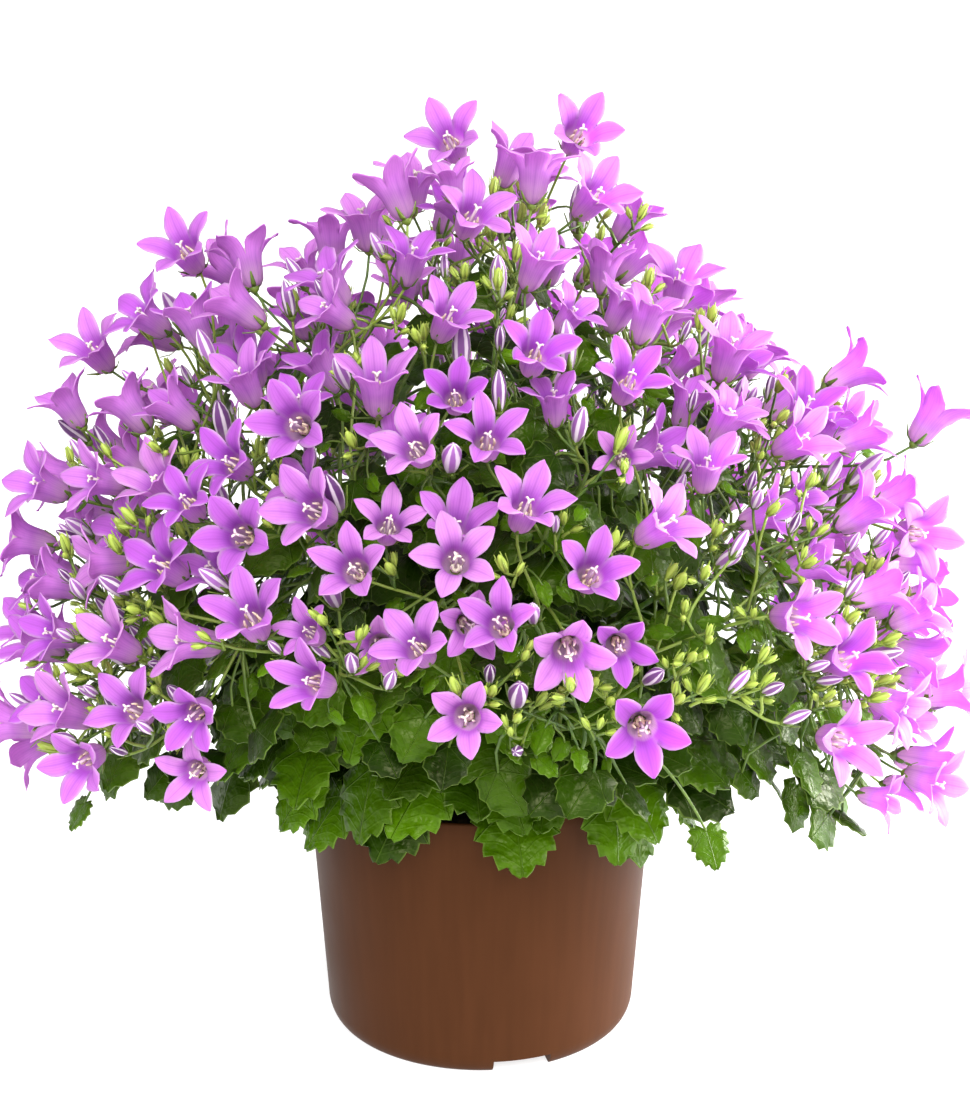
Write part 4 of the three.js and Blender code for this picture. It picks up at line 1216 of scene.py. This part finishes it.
def fill_leaves(looks, anchors, clearance, leaves):
    for tries, sizes, shares, painted_shade_tones, reach, room, detail in FILL_LEAVES:
        for _ in range(tries):
            leaf = fill_leaf(looks, sizes, shares)
            start, lead, owner, span = anchors.nearest(leaf["at"])
            if not 3 < span < reach or angle_between(leaf["at"] - start, leaf["heading"]) > FILL_LEAF_NOD:
                continue
            middles, radii = leaf_balls(leaf)
            if fits(clearance, start, leaf, (middles, radii * room)):
                # Leaves deep in the crown draw from darker tone ranges than those near its outside: painted
                # shade.
                leaf["tone"] = looks.uniform(*painted_shade_tones)
                leaf["width"] = looks.uniform(*SMALL_LEAF_WIDTHS) if detail is SMALL_LEAF else 1.0
                leaf["detail"] = detail
                leaves[owner].append((start, lead, leaf))


def fill_bud(looks, k):
    """A small bud; every other one stands in the lower front, where the flowers are few."""
    unit = dart_direction(looks.random, -6)
    while k % 2 and (unit[1] > -0.3 or unit[2] > 0.55):
        unit = dart_direction(looks.random, -6)
    is_young = looks.random() < FILL_YOUNG_SHARE
    size = BUD_LENGTH * (looks.uniform(0.4, 0.62) if is_young else looks.uniform(0.5, 0.8))
    axis = tipped(unit_of(unit + UP * 0.5), looks.uniform(0, 28), looks.uniform(0, 360))
    tip = crown_point(unit, looks.uniform(-3, 34))
    return make_bud(tip - axis * size, axis, size, is_young)


def side_buds(looks, clearance, bud):
    """Up to two smaller buds just below a young one."""
    found = []
    spin = looks.uniform(0, 360)
    for k in range(2):
        axis = tipped(bud["axis"], SIDE_BUD_LEAN, spin + 180 * k)
        at = bud["at"] - bud["axis"] * (3 + 2 * k) + axis * 3.5
        small = make_bud(at, axis, SIDE_BUD_SIZE, True)
        balls = bud_balls(small)
        if clearance.is_free(balls):
            clearance.add(balls)
            found.append((bud["at"] - bud["axis"] * (4 + 2 * k), bud["axis"], small))
    return found


def fill_buds(looks, anchors, clearance, shoots):
    for k in range(FILL_BUD_TRIES):
        bud = fill_bud(looks, k)
        start, lead, owner, span = anchors.nearest(bud["at"])
        is_near = 3 < span < FILL_BUD_REACH and angle_between(bud["at"] - start, bud["axis"]) < FILL_SHOOT_NOD
        if is_near and fits(clearance, start, bud, bud_balls(bud)):
            shoots[owner].append((start, lead, bud))
            fork, following = shoot_path(start, lead, bud)[4:6]
            anchors.add(fork, unit_of(following - fork), owner)
            if bud["is_young"]:
                shoots[owner].extend(side_buds(looks, clearance, bud))


def fill_crown(stems, clearance):
    """Small flowers, leaves and buds wherever they cross nothing, listed by stem."""
    looks = np.random.default_rng(FILL_SEED)
    anchors = Anchors(stems)
    leaves = [[] for _ in stems]
    shoots = [[] for _ in stems]
    fill_flowers(looks, anchors, clearance, shoots)
    add_trailing_leaves(anchors, clearance, leaves)
    fill_leaves(looks, anchors, clearance, leaves)
    fill_buds(looks, anchors, clearance, shoots)
    return leaves, shoots


# Finish of the pot
POT_SIDES = 160
LIP_RADIUS = 0.8
FLOOR_CORNER = 1.5
SHARP_ANGLE = 35


def arc_points(centre, radius, start, end, count):
    turns = np.radians(np.linspace(start, end, count))
    return [(centre[0] + radius[0] * math.cos(a), centre[1] + radius[1] * math.sin(a)) for a in turns]


def cutter_box(width, depth, height, out, turn):
    bpy.ops.mesh.primitive_cube_add(size=1)
    box = bpy.context.object
    box.scale = (depth * MM, width * MM, height * MM)
    box.location = direction(turn, 0) * out * MM
    box.rotation_euler = (0, 0, math.radians(turn))
    return box


def cutter_rod(radius, height, out, turn, rise):
    bpy.ops.mesh.primitive_cylinder_add(vertices=32, radius=radius * MM, depth=height * MM)
    rod = bpy.context.object
    rod.location = (direction(turn, 0) * out + UP * rise) * MM
    return rod


def make_pot():
    """The thin-walled pot, with its rounded foot, notches, drains and a small rolled lip."""
    floor = FOOT_RECESS + POT_WALL
    recess = POT_FOOT_RADIUS - POT_CORNER_WIDTH - FOOT_RING_WIDTH
    corner_centre = (pot_radius(POT_CORNER) - POT_CORNER_WIDTH, POT_CORNER)
    wall_rises = np.linspace(POT_CORNER + 3, POT_HEIGHT - 4, 8)
    lip = (POT_RIM_RADIUS - LIP_RADIUS, POT_HEIGHT - LIP_RADIUS)
    inner_foot = pot_radius(floor) - POT_WALL - POT_TAPER_INSIDE
    profile = [
        (recess - 1, FOOT_RECESS),
        (recess, FOOT_RECESS - 0.6),
        (recess + 0.3, 0.4),
        *arc_points(corner_centre, (POT_CORNER_WIDTH, POT_CORNER), -90, 0, 9),
        *[(pot_radius(z), z) for z in wall_rises],
        *arc_points(lip, (LIP_RADIUS, LIP_RADIUS), 0, 180, 9),
        (POT_RIM_RADIUS - POT_WALL - 0.1, POT_HEIGHT - 2.5),
        *[(pot_radius(z) - POT_WALL - POT_TAPER_INSIDE * (1 - z / POT_HEIGHT), z) for z in wall_rises[::-1]],
        (inner_foot, floor + FLOOR_CORNER),
        (inner_foot - FLOOR_CORNER, floor),
    ]
    pile = Pile()
    pile.add(ring_form(profile, POT_SIDES, FOOT_RECESS, floor), 0)
    pot = pile.build("nursery_pot", ["plastic"])
    cutters = []
    for k in range(NOTCH_COUNT):
        turn = FIRST_NOTCH_TURN + 360 * k / NOTCH_COUNT
        size = (NOTCH_WIDTH, 2 * POT_CORNER + 8, 2 * FOOT_RECESS - 0.6)
        cutters.append(cutter_box(*size, POT_FOOT_RADIUS - 1, turn))
    for k in range(DRAIN_COUNT):
        turn = FIRST_DRAIN_TURN + 360 * k / DRAIN_COUNT
        cutters.append(cutter_rod(DRAIN_RADIUS, 4 * POT_WALL, DRAIN_CIRCLE, turn, FOOT_RECESS + POT_WALL / 2))
    for cutter in cutters:
        cut = pot.modifiers.new("cut", "BOOLEAN")
        cut.operation = "DIFFERENCE"
        cut.object = cutter
    bpy.context.view_layer.update()
    done = bpy.data.meshes.new_from_object(pot.evaluated_get(bpy.context.evaluated_depsgraph_get()))
    pot.modifiers.clear()
    pot.data = done
    done.shade_smooth()
    done.set_sharp_from_angle(angle=math.radians(SHARP_ANGLE))
    for cutter in cutters:
        bpy.data.objects.remove(cutter)
    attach(pot, "root")
    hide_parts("pot")


SOIL_SIDES = 128
CRUMB_HEIGHT = 1.3
CRUMB_SCALE = 0.35


def crumb_rise(x, y):
    place = Vector((x * CRUMB_SCALE, y * CRUMB_SCALE, 3.0))
    return CRUMB_HEIGHT * (noise.fractal(place, 0.7, 2.2, 4) - 0.25)


def make_soil():
    """The root ball, with a crumbly top."""
    bottom = FOOT_RECESS + POT_WALL + CLEARANCE
    foot = pot_radius(bottom) - POT_WALL - POT_TAPER_INSIDE - CLEARANCE
    edge = pot_radius(SOIL_EDGE_Z) - POT_WALL - CLEARANCE - WALL_GAP
    top = [(edge * share, soil_height(edge * share)) for share in np.linspace(1, 0.02, 36)]
    profile = [(foot * 0.5, bottom), (foot, bottom), *top]
    points, faces, values = ring_form(profile, SOIL_SIDES, bottom, soil_height(0))
    radius = np.hypot(points[:, 0], points[:, 1])
    for index in np.nonzero((points[:, 2] > bottom + 1) & (radius < edge - 0.5))[0]:
        points[index, 2] += crumb_rise(points[index, 0], points[index, 1])
    pile = Pile()
    pile.add((points, faces, values), 0)
    soil = pile.build("peat", ["peat"])
    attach(soil, "root")
    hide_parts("soil")


class Nodes:
    """Short ways to write a material's node tree."""

    def __init__(self, name):
        self.material = bpy.data.materials.new(name)
        self.material.use_nodes = True
        self.tree = self.material.node_tree
        self.surface = self.tree.nodes["Principled BSDF"]
        self.output = self.tree.nodes["Material Output"]

    def add(self, kind, inputs=None, **settings):
        node = self.tree.nodes.new(f"ShaderNode{kind}")
        for name, value in settings.items():
            setattr(node, name, value)
        for socket, value in (inputs or {}).items():
            self.set(node, socket, value)
        return node

    def set(self, node, socket, value):
        if isinstance(value, bpy.types.NodeSocket):
            self.tree.links.new(value, node.inputs[socket])
        else:
            node.inputs[socket].default_value = value

    def value(self, name):
        return self.add("Attribute", attribute_name=name).outputs["Fac"]

    def values(self):
        return [self.value(name) for name in POINT_VALUES]

    def math(self, operation, *values):
        return self.add("Math", dict(enumerate(values)), operation=operation).outputs[0]

    def times(self, first, second):
        return self.math("MULTIPLY", first, second)

    def plus(self, first, second):
        return self.math("ADD", first, second)

    def fade(self, value, low, high, to_low=0.0, to_high=1.0):
        inputs = {"Value": value, "From Min": low, "From Max": high, "To Min": to_low, "To Max": to_high}
        return self.add("MapRange", inputs, interpolation_type="SMOOTHSTEP").outputs["Result"]

    def mix(self, share, first, second):
        node = self.add("Mix", {"Factor": share}, data_type="RGBA")
        for socket, value in ((6, first), (7, second)):
            self.set(node, socket, value)
        return node.outputs[2]

    def tint(self, color, mask, strength, second):
        """The color with a second one laid over it where the mask is."""
        return self.mix(self.times(mask, strength), color, second)

    def paint(self, color, grain, least_roughness, most_roughness):
        """The surface's color, and its roughness by the grain."""
        self.set(self.surface, "Base Color", color)
        roughness = self.fade(grain, *GRAIN_RANGE, least_roughness, most_roughness)
        self.set(self.surface, "Roughness", roughness)

    def noise(self, scale, detail=3.0, stretch=(1, 1, 1)):
        place = self.add("TexCoord").outputs["Object"]
        place = self.add("Mapping", {"Vector": place, "Scale": stretch}).outputs["Vector"]
        return self.add("TexNoise", {"Vector": place, "Scale": scale, "Detail": detail}).outputs["Fac"]

    def bump(self, height, strength, distance):
        inputs = {"Height": height, "Strength": strength, "Distance": distance}
        self.set(self.surface, "Normal", self.add("Bump", inputs).outputs["Normal"])


REFLECTANCE = 0.8
GRAIN_RANGE = (0.3, 0.7)


def rgb(red, green, blue):
    """A surface colour from the 0 to 255 values that it shows in full light."""
    shares = [c / 255 for c in (red, green, blue)]
    linear = [((c + 0.055) / 1.055) ** 2.4 if c > 0.04 else c / 12.92 for c in shares]
    return (*[REFLECTANCE * c for c in linear], 1.0)


def petal_material():
    """Lilac-pink lobes with paler edges and a darker midrib, bluer towards the throat, and near-white deep in
    the bell, where the throat's own pale colour is lightened further as painted light against the shade
    there.
    """
    n = Nodes("petal")
    along, across, face, tone, _ = n.values()
    vein = rgb(176, 84, 206)
    lobe = n.mix(tone, rgb(222, 113, 245), rgb(254, 178, 255))
    edge = n.plus(n.fade(across, 0.5, 0.0, 0.0, 0.35), n.fade(across, 0.2, 0.02, 0.0, 0.55))
    color = n.mix(edge, lobe, rgb(255, 216, 255))
    midrib = n.times(n.fade(across, 0.84, 1.0), n.fade(along, 0.4, 1.2))
    color = n.tint(color, midrib, 0.35, rgb(186, 92, 208))
    color = n.tint(color, n.fade(along, 1.35, 0.9), 0.5, rgb(204, 120, 242))
    # Near-white deep in the bell: partly the throat's own pale colour, partly painted light standing in for
    # light that comes through the thin petals into the shaded throat.
    color = n.mix(n.fade(along, 0.8, 0.3), color, rgb(255, 232, 250))
    outside = n.mix(n.fade(along, 0.2, 1.3), rgb(255, 212, 255), rgb(248, 160, 255))
    rib = n.times(n.fade(across, 0.78, 1.0), n.fade(along, 1.7, 0.9))
    color = n.mix(face, n.tint(outside, rib, 0.3, vein), color)
    line = n.math("SINE", n.times(across, 26.0))
    color = n.tint(color, n.fade(line, 0.3, 1.0), 0.16, vein)
    streak = n.noise(420.0, 2.0, (1, 1, 0.4))
    color = n.tint(color, n.fade(streak, 0.45, 0.75), 0.2, rgb(222, 124, 240))
    n.paint(color, streak, 0.5, 0.62)
    n.surface.inputs["Specular IOR Level"].default_value = 0.2
    n.surface.inputs["Sheen Weight"].default_value = 0.08
    n.surface.inputs["Sheen Roughness"].default_value = 0.5
    n.bump(streak, 0.35, 0.0003)
    glow = n.add("BsdfTranslucent", {"Color": color})
    glow_share = n.fade(along, 1.25, 0.7, 0.46, 0.72)
    both = n.add("MixShader", {0: glow_share, 1: n.surface.outputs[0], 2: glow.outputs[0]})
    n.set(n.output, "Surface", both.outputs[0])
    return n.material


def bud_material():
    """Dark violet panels between white pleats, lilac towards the foot."""
    n = Nodes("bud")
    along, across, _, tone, _ = n.values()
    panel = n.mix(tone, rgb(98, 46, 112), rgb(184, 118, 200))
    panel = n.mix(n.fade(along, 0.5, 0.0), panel, rgb(204, 170, 206))
    grain = n.noise(900.0)
    line = n.fade(n.plus(across, n.times(tone, 0.35)), 0.05, 0.5)
    n.paint(n.tint(panel, line, 0.9, rgb(250, 238, 246)), grain, 0.42, 0.55)
    n.bump(grain, 0.3, 0.0002)
    return n.material


def plain_material(name, dark, light, roughness):
    """A colour that varies by piece from dark to light, with fine speckles."""
    n = Nodes(name)
    tone = n.value("tone")
    grain = n.noise(500.0)
    color = n.mix(n.times(tone, tone), dark, light)
    color = n.tint(color, n.fade(grain, 0.35, 0.75), 0.14, light)
    n.paint(color, grain, roughness - 0.06, roughness + 0.06)
    n.bump(grain, 0.3, 0.0002)
    return n.material


def leaf_material():
    """A toothed leaf's green, with paler veins that fan out from its stalk end."""
    n = Nodes("leaf")
    along, across, face, tone, edge = n.values()
    grain = n.noise(330.0, 4.0)
    # Tone runs from near-black to light green; the fill leaves deep in the crown get low tones, which is
    # painted shade, the others a tone that differs at random.
    color = n.mix(tone, rgb(12, 32, 0), rgb(92, 138, 4))
    color = n.tint(color, n.fade(n.noise(60.0, 2.0), 0.35, 0.7), 0.3, rgb(50, 88, 0))
    turn = n.math("ARCTAN2", across, n.plus(along, 0.03))
    fan = n.math("ABSOLUTE", n.math("SINE", n.times(turn, 3.6)))
    radius = n.math("SQRT", n.plus(n.times(across, across), n.times(along, along)))
    main = n.fade(n.times(fan, n.plus(radius, 0.12)), 0.07, 0.0)
    feather = n.math("SINE", n.plus(n.times(radius, 46), n.times(fan, 7)))
    vein = n.math("MAXIMUM", main, n.times(n.fade(feather, 0.7, 1.0), 0.12))
    color = n.tint(color, vein, 0.3, rgb(120, 160, 50))
    color = n.tint(color, n.fade(grain, 0.5, 0.75), 0.3, rgb(24, 50, 0))
    color = n.tint(color, n.fade(edge, 0.92, 1.0), 0.25, rgb(158, 190, 84))
    color = n.tint(color, face, 0.4, rgb(96, 130, 50))
    n.paint(color, grain, 0.26, 0.42)
    n.surface.inputs["Specular IOR Level"].default_value = 0.2
    n.surface.inputs["Specular Tint"].default_value = (1, 1, 0.55, 1)
    relief = n.plus(n.times(n.noise(210.0, 2.0), 2.0), n.times(grain, 0.5))
    n.bump(n.math("SUBTRACT", relief, vein), 0.7, 0.0009)
    return n.material


def plastic_material():
    """Brown plastic, semi-matt, with faint upright streaks and dust."""
    n = Nodes("plastic")
    streak = n.noise(260.0, 3.0, (1, 1, 0.06))
    dust = n.noise(24.0, 5.0)
    color = n.mix(n.fade(streak, 0.2, 0.8), rgb(74, 42, 22), rgb(80, 46, 25))
    color = n.tint(color, n.fade(dust, 0.5, 0.8), 0.12, rgb(98, 58, 34))
    n.paint(color, dust, 0.4, 0.5)
    n.surface.inputs["Specular IOR Level"].default_value = 0.06
    n.surface.inputs["Specular Tint"].default_value = (1, 0.85, 0.7, 1)
    n.bump(streak, 0.08, 0.0002)
    return n.material


def peat_material():
    """Near-black peat with brown fibres."""
    n = Nodes("peat")
    grain = n.noise(420.0, 6.0)
    n.paint(n.mix(n.fade(grain, 0.4, 0.75), rgb(24, 17, 12), rgb(74, 56, 40)), grain, 0.85, 1.0)
    n.bump(grain, 0.8, 0.0008)
    return n.material


MATERIALS = {
    "petal": petal_material(),
    "bud": bud_material(),
    "heart": plain_material("heart", rgb(244, 222, 226), rgb(253, 246, 226), 0.5),
    "anther": plain_material("anther", rgb(255, 236, 190), rgb(255, 248, 220), 0.6),
    "stalk": plain_material("stalk", rgb(50, 88, 4), rgb(200, 224, 92), 0.45),
    "leaf": leaf_material(),
    "plastic": plastic_material(),
    "peat": peat_material(),
}

# Camera, fitted to the pot's outline, and light
CAMERA_PLACE = (0.0016, -0.8, 0.4254)
CAMERA_DROP = 0.312
CAMERA_LENS = 81.26
WORLD_STRENGTH = 0.5
EXPOSURE = 0.32
SUN_STRENGTH = 3.5
SUN_PLACE = (0.15, -1.55, 1.4)
SUN_WIDTH = 42
EDGE_PLACE = (0.75, 0.15, 0.25)
EDGE_TARGET = (0, 0, 0.05)
EDGE_SIZE = 0.5
EDGE_POWER = 14
FLOOR_SIZE = 30
FLOOR_GLOW = 0.58
WHITE = (1, 1, 1, 1)


def floor_material():
    """A mid-grey floor that glows, so that it looks white but throws less light up."""
    n = Nodes("pale_floor")
    n.paint(n.mix(n.noise(3.0), (0.5, 0.5, 0.5, 1), (0.53, 0.53, 0.53, 1)), n.noise(5.0), 0.75, 0.85)
    n.set(n.surface, "Emission Color", WHITE)
    n.set(n.surface, "Emission Strength", FLOOR_GLOW)
    return n.material


def make_light(name, kind, place, target, power):
    light = bpy.data.lights.new(name, kind)
    light.energy = power
    lamp = bpy.data.objects.new(name, light)
    lamp.location = place
    lamp.rotation_euler = (Vector(target) - Vector(place)).to_track_quat("-Z", "Y").to_euler()
    bpy.context.scene.collection.objects.link(lamp)
    return lamp


def make_stage():
    scene = bpy.context.scene
    bpy.ops.mesh.primitive_plane_add(size=FLOOR_SIZE)
    floor = bpy.context.object
    floor.name = "floor"
    floor.data.materials.append(floor_material())
    world = bpy.data.worlds.new("studio")
    world.use_nodes = True
    world.node_tree.nodes["Background"].inputs["Color"].default_value = WHITE
    world.node_tree.nodes["Background"].inputs["Strength"].default_value = WORLD_STRENGTH
    scene.world = world
    sun = make_light("sun", "SUN", SUN_PLACE, (0, 0, 0), SUN_STRENGTH)
    sun.data.angle = math.radians(SUN_WIDTH)
    edge = make_light("edge", "AREA", EDGE_PLACE, EDGE_TARGET, EDGE_POWER)
    edge.data.shape = "DISK"
    edge.data.size = EDGE_SIZE
    edge.visible_camera = False
    camera = bpy.data.objects.new("camera", bpy.data.cameras.new("camera"))
    camera.location = CAMERA_PLACE
    camera.rotation_euler = (math.pi / 2 - CAMERA_DROP, 0, 0)
    camera.data.lens = CAMERA_LENS
    scene.collection.objects.link(camera)
    scene.camera = camera
    scene.view_settings.view_transform = "Standard"
    scene.view_settings.exposure = EXPOSURE


def make_plant():
    stems, clearance = lay_out_plant()
    leaves, buds = fill_crown(stems, clearance)
    for index, stem in enumerate(stems):
        looks = np.random.default_rng(index)
        stem_piece(index + 1, stem, leaves[index], looks)
        spray_pieces(index + 1, stem, buds[index], looks)


make_pot()
make_soil()
make_plant()
make_stage()
